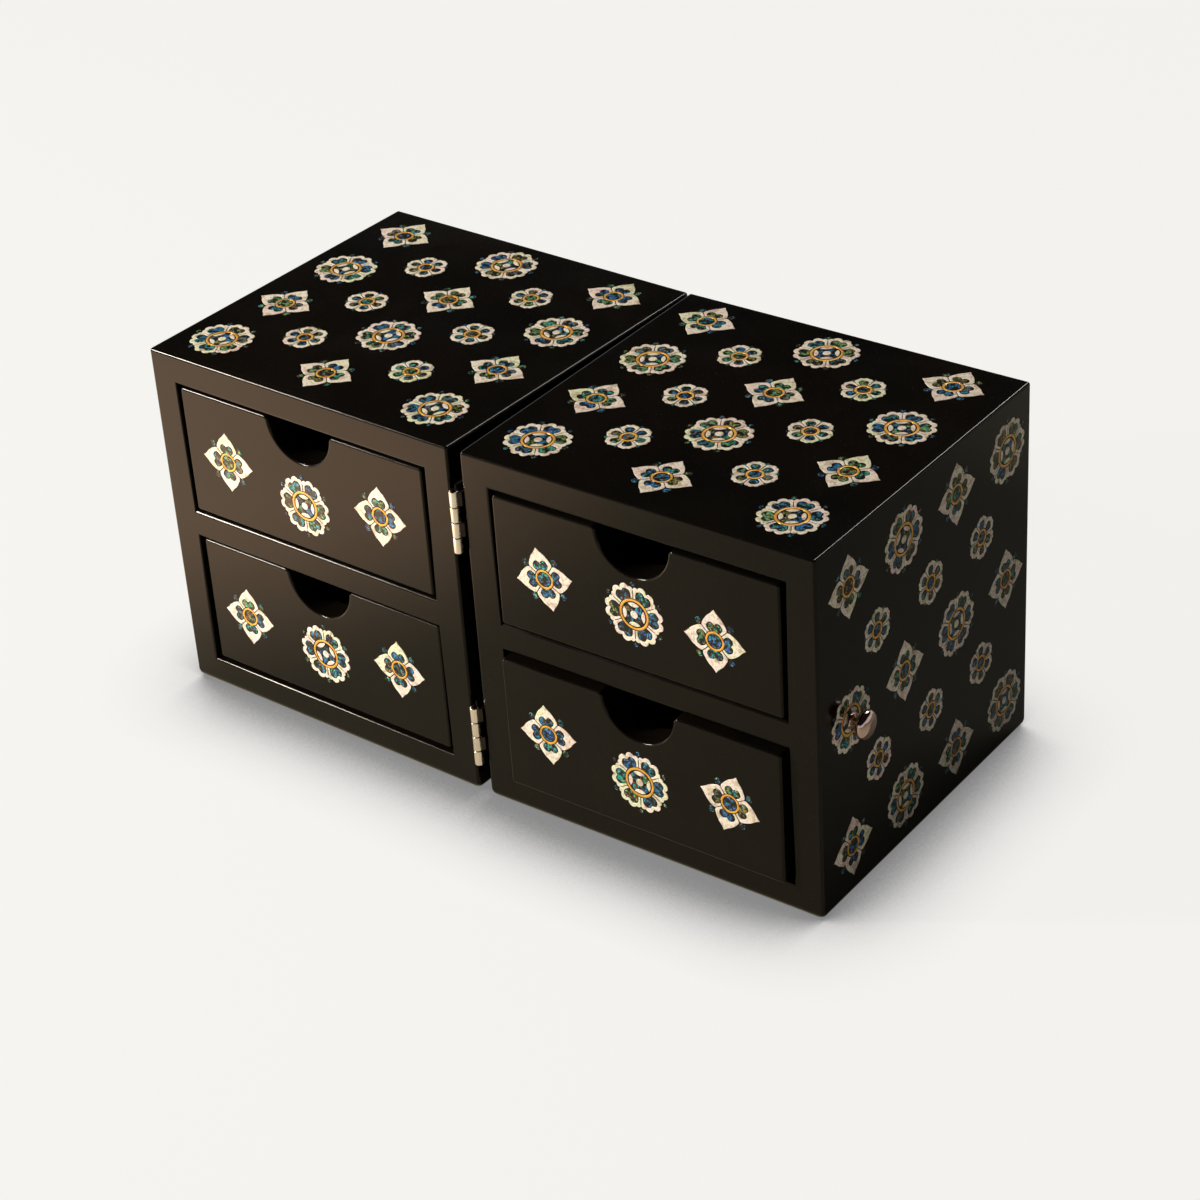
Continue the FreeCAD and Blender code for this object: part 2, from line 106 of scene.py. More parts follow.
# A motif whose plate reaches farther from its middle than this is of that kind
SQUARE_FLOWER_REACH = 10.15 * MM
ROSETTE_REACH = 9.0 * MM

# How many degrees two faces of a piece of shell turn for a crisp edge
SHELL_CREASE = 30.0

# The stage: where the softboxes aim, the way in which the floor looks for what
# stands over it as it paints the object's shadow, how bright it is drawn for how
# open it is there (a painted shadow), the shares of its own light that the camera
# and the mirrors see, and the share of the painted glow's reach in which it has
# its full strength
OBJECT_MIDDLE = Vector((0.0, 0.0, 0.05))
SHADOW_LEAN = (-0.05, 0.10, 0.994)
PAINTED_SHADOW_RAMP = (
    (0.50, (0.260, 0.262, 0.275)), (0.62, (0.500, 0.500, 0.520)), (0.72, (0.760, 0.757, 0.775)),
    (0.86, (0.920, 0.918, 0.928)), (1.0, (1.0, 1.0, 1.0)),
)
SEEN_SHARE = 0.96
MIRRORED_SHARE = 0.05
GLOW_CORE = 0.3

# How high above the horizon the pale part of the room ends and the dim part starts
PALE_BELOW, DIM_ABOVE = 0.22, 0.36
DIM_ROOM = (0.012, 0.012, 0.012)


def length(name, millimetres, description):
    """A size property, whose default is given in millimetres."""
    return FloatProperty(
        name=name, description=description, default=millimetres * MM, min=0.0, precision=5,
        subtype="DISTANCE", unit="LENGTH",
    )


def power(name, watts, description):
    """The power of a lamp."""
    return FloatProperty(
        name=name, description=description, default=watts, min=0.0, unit="POWER"
    )


def share(name, default, description):
    """A property between nought and one."""
    return FloatProperty(
        name=name, description=description, default=default, min=0.0, max=1.0, subtype="FACTOR"
    )


def colour(name, red_green_blue, description):
    """A colour property in linear light."""
    return FloatVectorProperty(
        name=name, description=description, default=red_green_blue, size=3, min=0.0, max=1.0,
        subtype="COLOR",
    )


def angle(name, degrees, description):
    """An angle property, whose default is given in degrees."""
    return FloatProperty(
        name=name, description=description, default=math.radians(degrees), subtype="ANGLE",
        unit="ROTATION",
    )


class CaseSettings(bpy.types.PropertyGroup):
    """The lacquered cases."""

    edge_round: length("Edge round", 0.9, "Radius of the case's upright and upper edges")
    foot_round: length("Foot round", 2.8, "Radius of the edges round its underside")
    lip_round: length("Opening lip", 1.0, "Radius of the edges round the drawer openings")
    lacquer: colour("Lacquer", (0.0030, 0.0024, 0.0017), "Colour of the black lacquer")
    gloss: share("Roughness", 0.13, "Roughness of the polished lacquer")


class DrawerSettings(bpy.types.PropertyGroup):
    """The drawers and their lining."""

    face_round: length("Front edge", 0.8, "Radius of the edge round a drawer front")
    corner_round: length("Front corner", 1.0, "Radius of a drawer front's corners")
    notch_radius: length("Finger notch", 12.4, "Radius of the half-round finger notch")
    notch_shoulder: length("Notch shoulder", 1.6, "Radius where the notch meets the top edge")
    board_round: length("Board edge", 0.35, "Radius of the edges of a drawer's boards")
    lining_wall: length("Lining wall", 1.2, "Thickness of the velvet on the drawer's walls")
    lining_floor: length("Lining floor", 1.6, "Thickness of the padded velvet floor")
    notch_margin: length("Notch margin", 1.5, "How far the lining keeps back from the notch")
    pad_crown: length("Pad crown", 0.5, "How much higher the pad is in its middle")
    velvet: colour("Velvet", (0.012, 0.009, 0.010), "Colour of the velvet pile")
    board_colour: colour("Boards", (0.009, 0.0065, 0.005), "Colour of the satin boards")


class InlaySettings(bpy.types.PropertyGroup):
    """The shell flowers."""

    proud: length("Proud", 0.10, "How far the shell stands out of the lacquer")
    sunk: length("Sunk", 0.25, "How deep the pieces reach into the lacquer")
    line: length("Line", 0.27, "Width of the dark line between neighbouring pieces")
    arris: length("Arris", 0.06, "Width of the worn edge of a piece of shell")
    pink_shell: colour("Pink shell", (0.94, 0.76, 0.70), "The pinkest mother-of-pearl")
    cream_shell: colour("Cream shell", (0.94, 0.84, 0.72), "The plainest mother-of-pearl")
    green_shell: colour("Green shell", (0.84, 0.84, 0.58), "The greenest mother-of-pearl")
    gold: colour("Gold", (0.88, 0.42, 0.03), "Colour of the gilt rings")


class MetalSettings(bpy.types.PropertyGroup):
    """The hinges and knobs."""

    knuckle_radius: length("Knuckle", 1.42, "Radius of the hinge knuckles")
    knuckle_gap: length("Knuckle gap", 0.3, "Gap between two hinge knuckles")
    knuckle_edge: length("Knuckle edge", 0.16, "Radius of the knuckles' edges")
    leaf_thick: length("Leaf", 0.8, "Thickness of the hinge leaves")
    leaf_start: length("Leaf start", 2.85, "How far behind the pin the flat leaf begins")
    hinge: colour("Hinge", (0.82, 0.72, 0.65), "Colour of the nickelled hinge knuckles")
    # The leaves and the screws on them are drawn near-black: painted shade, where they sit back in
    # the gap between the cabinets
    leaf: colour("Leaf", (0.045, 0.035, 0.030), "Colour of the shade_darkened hinge leaves")
    knob: colour("Knob", (0.45, 0.33, 0.30), "Colour of the dark plated knobs")


class StageSettings(bpy.types.PropertyGroup):
    """The floor, the light and the camera."""

    floor: colour("Floor", (0.905, 0.896, 0.863), "Colour of the pale floor")
    backdrop: colour("Backdrop", (0.910, 0.902, 0.870), "Colour of the floor far from the object")
    floor_size: length("Floor size", 9000, "Side of the square floor")
    # The floor's shadow is painted: occlusion within this reach draws it darker
    shadow_reach: length("Shadow reach", 40, "How far the object dims the floor beside it")
    # A painted reflection: a warm soft spot on the floor at the front left glows for mirrored rays
    # alone, so that the lacquer fronts mirror it; its strength, colour, reach and middle follow
    glow: FloatProperty(
        name="Floor glow", description="Strength of the bright floor that the lacquer mirrors",
        default=2.9, min=0.0,
    )
    glow_colour: colour("Glow colour", (1.0, 0.615, 0.41), "Colour of that bright floor")
    # Painted reflection: mirrored rays see the floor in this warmer colour instead of its own
    mirrored: colour("Mirrored floor", (0.79, 0.755, 0.57), "Colour of the floor in mirrors")
    glow_reach: length("Glow reach", 197, "How far the bright part of the floor spreads")
    glow_place: FloatVectorProperty(
        name="Glow", description="Middle of the bright part of the floor", size=2,
        subtype="TRANSLATION", unit="LENGTH", default=(-0.225, -0.20),
    )
    key_strength: power("Key light", 24.5, "Power of the softbox at the front left")
    fill_strength: power("Fill light", 1.6, "Power of the softbox high behind")
    strip_strength: power("Strip light", 6.5, "Power of the strip that lights up the edges")
    sky_strength: share("Room light", 0.05, "Strength of the light from the room all round")
    lens: FloatProperty(
        name="Focal length", description="Focal length in millimetres on a 36 mm sensor",
        default=90.895, min=1.0,
    )
    heading: angle("Heading", 38.94, "How far the camera stands round to the right")
    lift: angle("Lift", 31.73, "How far the camera looks down")
    roll: angle("Roll", -3.99, "How far the camera leans about its line of sight")
    camera_place: FloatVectorProperty(
        name="Camera", description="Where the camera stands", size=3, subtype="TRANSLATION",
        unit="LENGTH", default=(0.50526, -0.62127, 0.53381), precision=5,
    )


# Frames of the two cabinets

def cabinet_frame(side):
    """The matrix from a cabinet's own frame to the object's, as its drawers slide."""
    joints = {joint["name"]: joint for joint in frame["joints"]}
    back = -Vector(joints[f"{side}_upper_slide"]["axis"])
    across = Vector((back.y, -back.x, 0.0))
    if side == "left":
        across.negate()
    pin = joints["fold"]["pos_m"]
    matrix = Matrix.Identity(4)
    for column, direction in enumerate((across, back, Vector((0.0, 0.0, 1.0)))):
        for row in range(3):
            matrix[row][column] = direction[row]
    matrix.translation = (pin[0], pin[1], 0.0)
    return matrix


PLACE = {side: cabinet_frame(side) for side in SIDES}


def own_box(side, node):
    """The lowest and highest corner of a CAD node in its cabinet's own frame."""
    mesh = frame["nodes"][node].data
    points = np.empty(len(mesh.vertices) * 3)
    mesh.vertices.foreach_get("co", points)
    back = np.array(PLACE[side].inverted())
    points = points.reshape(-1, 3) @ back[:3, :3].T + back[:3, 3]
    return Vector(points.min(axis=0)), Vector(points.max(axis=0))


# Making pieces

def link_piece(name, mesh, side, body, material, replaced):
    """Stand a mesh drawn in a cabinet's own frame in its place, on its body."""
    mesh.materials.append(bpy.data.materials[material])
    mesh.transform(PLACE[side])
    if PLACE[side].is_negative:
        mesh.flip_normals()
    piece = bpy.data.objects.new(name, mesh)
    bpy.context.scene.collection.objects.link(piece)
    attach(piece, body)
    if replaced:
        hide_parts(*replaced)
    return piece


def close_piece(name, shape, side, body, slot, material, replaced, crease=35.0):
    """Turn a bmesh into a piece with smooth rounds and crisp edges."""
    bmesh.ops.recalc_face_normals(shape, faces=shape.faces)
    mesh = bpy.data.meshes.new(name)
    shape.to_mesh(mesh)
    shape.free()
    mesh.shade_smooth()
    mesh.set_sharp_from_angle(angle=math.radians(crease))
    return link_piece(name, mesh, side, body, material, replaced)


def keep_flats_flat(piece):
    """Shade the large flat faces flat and let the rounds between them turn."""
    weighted = piece.modifiers.new("Flat faces", "WEIGHTED_NORMAL")
    weighted.mode = "FACE_AREA"
    weighted.weight = 100
    weighted.keep_sharp = True


def each_drawer():
    """Each drawer's side and name."""
    for side in SIDES:
        for level in LEVELS:
            yield side, f"{side}_{level}_drawer"


def inset_loop(points, inset):
    """A closed outline moved inward by a distance, corner by corner."""
    if inset == 0:
        return points
    moved = []
    for before, here, after in zip(points[-1:] + points[:-1], points, points[1:] + points[:1]):
        arriving, leaving = here - before, after - here
        normal_before = Vector((-arriving.y, arriving.x)).normalized()
        normal_after = Vector((-leaving.y, leaving.x)).normalized()
        middle = normal_before + normal_after
        if middle.length < 1e-6:
            middle = normal_after
        middle.normalize()
        stretch = 1 / max(middle.dot(normal_after), 0.4)
        moved.append(here + middle * inset * stretch)
    return moved


def counterclockwise(points):
    """The outline, turned round if it runs clockwise."""
    area = sum(a.x * b.y - b.x * a.y for a, b in zip(points, points[1:] + points[:1]))
    return points if area > 0 else points[::-1]


def skin(shape, loops):
    """A closed skin over loops with as many points each, capped at both ends."""
    rings = [[shape.verts.new(point) for point in loop] for loop in loops]
    for low, high in zip(rings, rings[1:]):
        for i in range(len(low)):
            j = (i + 1) % len(low)
            shape.faces.new((low[i], low[j], high[j], high[i]))
    shape.faces.new(rings[0][::-1])
    shape.faces.new(rings[-1])


def prism(shape, outline, levels, to_space):
    """A closed plate: an outline at each (inset, height) level, capped at both ends."""
    outline = counterclockwise([Vector(point) for point in outline])
    skin(shape, [
        [to_space(p.x, p.y, height) for p in inset_loop(outline, inset)]
        for inset, height in levels
    ])


def round_levels(radius, low, high):
    """The levels of a plate from low to high whose upper edge is a quarter round."""
    levels = [(0.0, low)]
    for k in range(ROUND_STEPS + 1):
        turn = math.pi / 2 * k / ROUND_STEPS
        levels.append((radius * (1 - math.cos(turn)), high - radius * (1 - math.sin(turn))))
    return levels


def polar(radius, degrees):
    """A point of the drawing plane from its radius and angle."""
    turn = math.radians(degrees)
    return Vector((radius * math.cos(turn), radius * math.sin(turn)))


def arc(centre, radius, start, sweep, steps):
    """Points along an arc round a centre, ends included."""
    return [centre + polar(radius, start + sweep * k / steps) for k in range(steps + 1)]


def disc(radius, steps=28, centre=(0.0, 0.0)):
    """A round outline."""
    return arc(Vector(centre), radius, 0, 360, steps)[:-1]


def arc_between(a, b, c, steps):
    """Points along the arc from a to c through b, ends included."""
    twice = 2 * (a.x * (b.y - c.y) + b.x * (c.y - a.y) + c.x * (a.y - b.y))
    if abs(twice) < 1e-14:
        return [a.lerp(c, k / steps) for k in range(steps + 1)]
    sa, sb, sc = a.length_squared, b.length_squared, c.length_squared
    centre = Vector((
        (sa * (b.y - c.y) + sb * (c.y - a.y) + sc * (a.y - b.y)) / twice,
        (sa * (c.x - b.x) + sb * (a.x - c.x) + sc * (b.x - a.x)) / twice,
    ))
    first, middle, last = (
        math.degrees(math.atan2((p - centre).y, (p - centre).x)) for p in (a, b, c)
    )
    sweep = (last - first) % 360
    if (middle - first) % 360 > sweep:
        sweep -= 360
    return arc(centre, (a - centre).length, first, sweep, steps)


def curve_through(points, steps):
    """A smooth open curve through the points, steps to each stretch between two."""
    ends = points[:1] + points + points[-1:]
    made = []
    for a, b, c, d in zip(ends, ends[1:], ends[2:], ends[3:]):
        for k in range(steps):
            t = k / steps
            made.append(
                0.5 * (2 * b + (c - a) * t + (2 * a - 5 * b + 4 * c - d) * t * t
                       + (3 * b - a - 3 * c + d) * t ** 3)
            )
    return made + points[-1:]


# Shader building

def feed(tree, socket, value):
    """Give a socket a value or a link."""
    if isinstance(value, bpy.types.NodeSocket):
        tree.links.new(value, socket)
    else:
        socket.default_value = value


def add(tree, kind, inputs=None, **settings):
    """A shader node with its settings and inputs."""
    made = tree.nodes.new("ShaderNode" + kind)
    for name, value in settings.items():
        setattr(made, name, value)
    for name, value in (inputs or {}).items():
        feed(tree, made.inputs[name], value)
    return made


def on_object(tree):
    """The place on the object."""
    return add(tree, "TexCoord").outputs["Object"]


def maths(tree, operation, *values, clamp=False):
    """The result of one sum."""
    inputs = dict(enumerate(values))
    return add(tree, "Math", inputs, operation=operation, use_clamp=clamp).outputs[0]


def blend(tree, factor, first, second, way="MIX"):
    """A colour between two colours, each a link or three numbers."""
    inputs = {0: factor}
    for index, shade in ((6, first), (7, second)):
        linked = isinstance(shade, bpy.types.NodeSocket)
        inputs[index] = shade if linked else (*shade, 1.0)
    return add(tree, "Mix", inputs, data_type="RGBA", blend_type=way).outputs[2]


def spread(tree, value, low, high, new_low=0.0, new_high=1.0, way="LINEAR"):
    """A value moved from one range to another, held at its ends."""
    inputs = {0: value, 1: low, 2: high, 3: new_low, 4: new_high}
    return add(tree, "MapRange", inputs, interpolation_type=way).outputs[0]


def colour_ramp(tree, value, stops):
    """A colour that changes through the stops as the value rises."""
    made = add(tree, "ValToRGB", {0: value})
    elements = made.color_ramp.elements
    while len(elements) < len(stops):
        elements.new(1.0)
    for element, (position, shade) in zip(elements, stops):
        element.position = position
        element.color = (*shade, 1.0)
    return made.outputs[0]


def noise(tree, place, scale, detail=2.0, roughness=0.5, distortion=0.0):
    """Noise at the given place, as a value."""
    inputs = {
        "Vector": place, "Scale": scale, "Detail": detail, "Roughness": roughness,
        "Distortion": distortion,
    }
    return add(tree, "TexNoise", inputs).outputs["Fac"]


def new_group(name, given, outputs):
    """An empty shader group of values, as (tree, its inputs, its outputs)."""
    tree = bpy.data.node_groups.new(name, "ShaderNodeTree")
    for socket, default in given.items():
        made = tree.interface.new_socket(socket, in_out="INPUT", socket_type="NodeSocketFloat")
        made.default_value = default
    for socket in outputs:
        tree.interface.new_socket(socket, in_out="OUTPUT", socket_type="NodeSocketFloat")
    return tree, tree.nodes.new("NodeGroupInput").outputs, tree.nodes.new("NodeGroupOutput").inputs


def polished_surface():
    """A polished or plated surface: smears in its gloss, a faint ripple, fine dust."""
    tree, given, out = new_group(
        "Polished surface",
        {"Smear scale": 40.0, "Ripple scale": 160.0, "Roughness": 0.1, "Smear": 0.05, "Dust": 0.0},
        ("Roughness", "Height", "Dust"),
    )
    place = on_object(tree)
    smears = spread(tree, noise(tree, place, given["Smear scale"], 4.0, 0.6, 0.8), 0.42, 0.75)
    specks = spread(tree, noise(tree, place, 2600.0, 1.0), 0.72, 0.78)
    dust = maths(tree, "MULTIPLY", specks, given["Dust"])
    rough = maths(tree, "MULTIPLY_ADD", smears, given["Smear"], given["Roughness"])
    rough = maths(tree, "ADD", rough, maths(tree, "MULTIPLY", dust, 0.5), clamp=True)
    ripple = noise(tree, place, given["Ripple scale"], 2.0)
    feed(tree, out["Roughness"], rough)
    feed(tree, out["Height"], maths(tree, "ADD", ripple, maths(tree, "MULTIPLY", dust, 0.3)))
    feed(tree, out["Dust"], dust)


def shell_layers():
    """The layers of shell, different in each piece: bands, patches and fine growth lines."""
    tree, given, out = new_group(
        "Shell layers", {"Band scale": 300.0, "Swirl": 3.0}, ("Tone", "Bands", "Patches", "Lines")
    )
    seed = add(tree, "Attribute", attribute_name="piece_seed").outputs
    moved = {0: on_object(tree), 1: seed["Vector"]}
    spot = add(tree, "VectorMath", moved, operation="ADD").outputs[0]
    turn = {"Vector": spot, "Angle": maths(tree, "MULTIPLY", seed["Fac"], 40.0)}
    turned = add(tree, "VectorRotate", turn).outputs[0]
    waves = {
        "Vector": turned, "Scale": given["Band scale"], "Distortion": given["Swirl"],
        "Detail": 3.0, "Detail Scale": 1.4, "Detail Roughness": 0.6,
    }
    patch_scale = maths(tree, "MULTIPLY", given["Band scale"], 2.4)
    line_scale = maths(tree, "MULTIPLY", given["Band scale"], 8.0)
    tone = add(tree, "SeparateXYZ", {0: seed["Vector"]}).outputs[0]
    feed(tree, out["Tone"], tone)
    feed(tree, out["Bands"], add(tree, "TexWave", waves).outputs["Fac"])
    feed(tree, out["Patches"], noise(tree, spot, patch_scale, 2.0))
    feed(tree, out["Lines"], noise(tree, turned, line_scale, 3.0))


def new_material(name):
    """A new material's node tree and its Principled shader."""
    material = bpy.data.materials.new(name)
    material.use_nodes = True
    return material.node_tree, material.node_tree.nodes["Principled BSDF"]


def set_shader(tree, shader, **inputs):
    """Set the shader's inputs, named with underscores."""
    for name, value in inputs.items():
        feed(tree, shader.inputs[name.replace("_", " ")], value)


def bump(tree, height, strength, distance):
    """A normal that follows a height, whose distance is in metres."""
    inputs = {"Height": height, "Strength": strength, "Distance": distance}
    return add(tree, "Bump", inputs).outputs[0]


def placed_group(tree, name, **inputs):
    """A shader group placed in a material with its own values, named with underscores."""
    inputs = {socket.replace("_", " "): value for socket, value in inputs.items()}
    return add(tree, "Group", inputs, node_tree=bpy.data.node_groups[name]).outputs


def scaled(shade, *scales):
    """A colour made stronger or weaker, by one number or one for each channel."""
    return tuple(c * s for c, s in zip(shade, scales * (3 // len(scales))))


def lacquer_material(name, base, roughness, smear):
    """Lacquer over wood: near-black, a little browner where the coats are thin."""
    tree, shader = new_material(name)
    surface = placed_group(
        tree, "Polished surface", Smear_scale=28.0, Ripple_scale=120.0, Roughness=roughness,
        Smear=smear, Dust=0.6,
    )
    thin = spread(tree, noise(tree, on_object(tree), 22.0, 3.0, 0.55), 0.35, 0.7)
    shade = blend(tree, thin, base, scaled(base, 1.6, 1.35, 1.15))
    shade = blend(tree, surface["Dust"], shade, [c + 0.02 for c in base])
    set_shader(
        tree, shader, Base_Color=shade, Roughness=surface["Roughness"],
        Normal=bump(tree, surface["Height"], 0.05, 0.00004),
        Specular_IOR_Level=0.14, Specular_Tint=(1.0, 0.94, 0.86, 1.0),
    )


def nacre_material(settings):
    """Mother-of-pearl: each piece its own cream, pink or green, with a play of colour in it.

    The play of colour is partly the shell's own tints and partly a painted sheen.
    """
    tree, shader = new_material("mother of pearl")
    layers = placed_group(tree, "Shell layers", Band_scale=170.0, Swirl=6.0)
    shade = colour_ramp(tree, layers["Tone"], (
        (0.0, settings.pink_shell), (0.45, settings.cream_shell), (0.82, settings.cream_shell),
        (1.0, settings.green_shell),
    ))
    # The play of colour: partly the shell's own tints, partly a painted iridescent sheen
    play = colour_ramp(tree, layers["Bands"], (
        (0.0, (0.84, 0.97, 0.70)), (0.25, (1.0, 0.99, 0.90)), (0.60, (1.0, 0.93, 0.92)),
        (0.85, (0.98, 0.82, 0.92)), (1.0, (0.80, 0.97, 0.94)),
    ))
    shade = blend(tree, 0.75, shade, play, "MULTIPLY")
    depth = colour_ramp(tree, layers["Patches"], (
        (0.34, (0.60, 0.52, 0.44)), (0.44, (0.92, 0.88, 0.84)), (0.54, (1.0, 1.0, 1.0)),
    ))
    shade = blend(tree, 0.8, shade, depth, "MULTIPLY")
    growth = colour_ramp(tree, layers["Lines"], (
        (0.36, (0.72, 0.64, 0.56)), (0.46, (1.0, 1.0, 1.0)),
    ))
    shade = blend(tree, 0.8, shade, growth, "MULTIPLY")
    rough = spread(tree, layers["Lines"], 0.3, 0.7, 0.20, 0.36)
    set_shader(
        tree, shader, Base_Color=shade, Roughness=rough, Coat_Weight=0.35, Coat_Roughness=0.08,
        Normal=bump(tree, maths(tree, "ADD", layers["Lines"], layers["Bands"]), 0.14, 0.00003),
    )


def abalone_material():
    """Abalone: near-black, with flashes of teal, blue, green and brown, each piece its own.

    The flashes are partly the shell's own colour and partly a painted sheen of its
    play of colour.
    """
    tree, shader = new_material("abalone")
    layers = placed_group(tree, "Shell layers", Band_scale=300.0, Swirl=9.0)
    wander = maths(tree, "MULTIPLY", layers["Bands"], 0.30)
    own = maths(tree, "MULTIPLY", layers["Tone"], 7.0)
    hue = maths(tree, "FRACT", maths(tree, "ADD", wander, own))
    flash = colour_ramp(tree, hue, (
        (0.00, (0.03, 0.52, 0.50)), (0.15, (0.05, 0.26, 0.74)), (0.28, (0.08, 0.10, 0.40)),
        (0.42, (0.03, 0.40, 0.44)), (0.54, (0.06, 0.58, 0.32)), (0.64, (0.24, 0.56, 0.14)),
        (0.74, (0.46, 0.32, 0.08)), (0.86, (0.28, 0.09, 0.03)), (0.94, (0.05, 0.04, 0.06)),
        (1.00, (0.03, 0.52, 0.50)),
    ))
    # Bright patches and streaks of colour over near-black: partly the shell's own colour, partly a
    # painted sheen
    lit = spread(tree, layers["Patches"], 0.45, 0.57)
    streaks = spread(tree, layers["Lines"], 0.44, 0.58, 0.15, 1.0)
    lit = maths(tree, "MULTIPLY", lit, streaks)
    shade = blend(tree, lit, (0.010, 0.0090, 0.008), flash)
    rough = spread(tree, layers["Lines"], 0.3, 0.7, 0.12, 0.28)
    set_shader(
        tree, shader, Base_Color=shade, Roughness=rough, Specular_IOR_Level=0.25,
        Coat_Weight=0.12, Coat_Roughness=0.05, Normal=bump(tree, layers["Bands"], 0.15, 0.00004),
    )


def gold_material(settings):
    """Gilt line, laid by hand: warm, with rubbed and thicker stretches."""
    tree, shader = new_material("gilt")
    surface = placed_group(
        tree, "Polished surface", Smear_scale=420.0, Ripple_scale=1500.0, Roughness=0.26,
        Smear=0.2, Dust=0.3,
    )
    rubbed = spread(tree, noise(tree, on_object(tree), 520.0, 3.0), 0.45, 0.7)
    shade = blend(tree, rubbed, settings.gold, scaled(settings.gold, 0.72, 0.6, 0.6))
    set_shader(
        tree, shader, Base_Color=shade, Metallic=0.25, Roughness=surface["Roughness"],
        Normal=bump(tree, surface["Height"], 0.3, 0.00004), Coat_Weight=0.5, Coat_Roughness=0.06,
    )


def velvet_material(settings):
    """Velvet: dark pile that catches light at a slant, brushed here and there; the brushed patches
    are painted lighter, a painted sheen.
    """
    tree, shader = new_material("velvet")
    place = on_object(tree)
    pile = noise(tree, place, 3200.0, 2.0, 0.7)
    brushed = noise(tree, place, 60.0, 3.0, 0.6, 1.2)
    # Brushed patches are painted up to 2.6 times lighter: a painted sheen where the pile lies over
    light = spread(tree, brushed, 0.4, 0.65)
    shade = blend(tree, light, settings.velvet, scaled(settings.velvet, 2.6))
    shade = blend(tree, spread(tree, pile, 0.35, 0.65, 0.55, 0.0), shade, (0.002, 0.002, 0.002))
    set_shader(
        tree, shader, Base_Color=shade, Roughness=0.95, Sheen_Weight=0.5, Sheen_Roughness=0.35,
        Sheen_Tint=(0.45, 0.40, 0.42, 1.0), Specular_IOR_Level=0.2,
        Normal=bump(tree, maths(tree, "ADD", pile, brushed), 0.6, 0.0002),
    )


def metal_material(name, base, roughness, streak):
    """Plated metal with fine drawn streaks and duller patches."""
    tree, shader = new_material(name)
    surface = placed_group(
        tree, "Polished surface", Smear_scale=180.0, Ripple_scale=900.0, Roughness=roughness,
        Smear=0.12, Dust=0.2,
    )
    drawn = {"Vector": on_object(tree), "Scale": (1.0, 1.0, streak)}
    lines = noise(tree, add(tree, "Mapping", drawn).outputs[0], 1400.0, 3.0, 0.6)
    shade = blend(tree, spread(tree, lines, 0.4, 0.75, 0.0, 0.6), base, scaled(base, 0.72))
    height = maths(tree, "ADD", lines, surface["Height"])
    set_shader(
        tree, shader, Base_Color=shade, Metallic=1.0, Roughness=surface["Roughness"],
        Normal=bump(tree, height, 0.08, 0.00003),
    )


def make_materials(scene):
    """Every finish of the object, built once."""
    polished_surface()
    shell_layers()
    case, drawers = scene.cabinet_case, scene.cabinet_drawers
    lacquer_material("black lacquer", case.lacquer, case.gloss, 0.06)
    lacquer_material("satin boards", drawers.board_colour, 0.40, 0.12)
    nacre_material(scene.cabinet_inlays)
    abalone_material()
    gold_material(scene.cabinet_inlays)
    velvet_material(drawers)
    metal_material("nickel", scene.cabinet_metal.hinge, 0.20, 0.15)
    # Hinge leaves and screws: nickel painted near-black as painted shade
    metal_material("shade_darkened nickel", scene.cabinet_metal.leaf, 0.40, 0.15)
    metal_material("dark plate", scene.cabinet_metal.knob, 0.05, 1.0)


# Pieces

def round_corners(x0, y0, x1, y1, reach, radius):
    """The four round corners of a rectangle, with their centres a reach inside its sides."""
    centres = (
        (x0 + reach, y0 + reach), (x1 - reach, y0 + reach), (x1 - reach, y1 - reach),
        (x0 + reach, y1 - reach),
    )
    return [
        arc(Vector(centre), radius, start, 90, CORNER_STEPS)
        for centre, start in zip(centres, (180, 270, 0, 90))
    ]


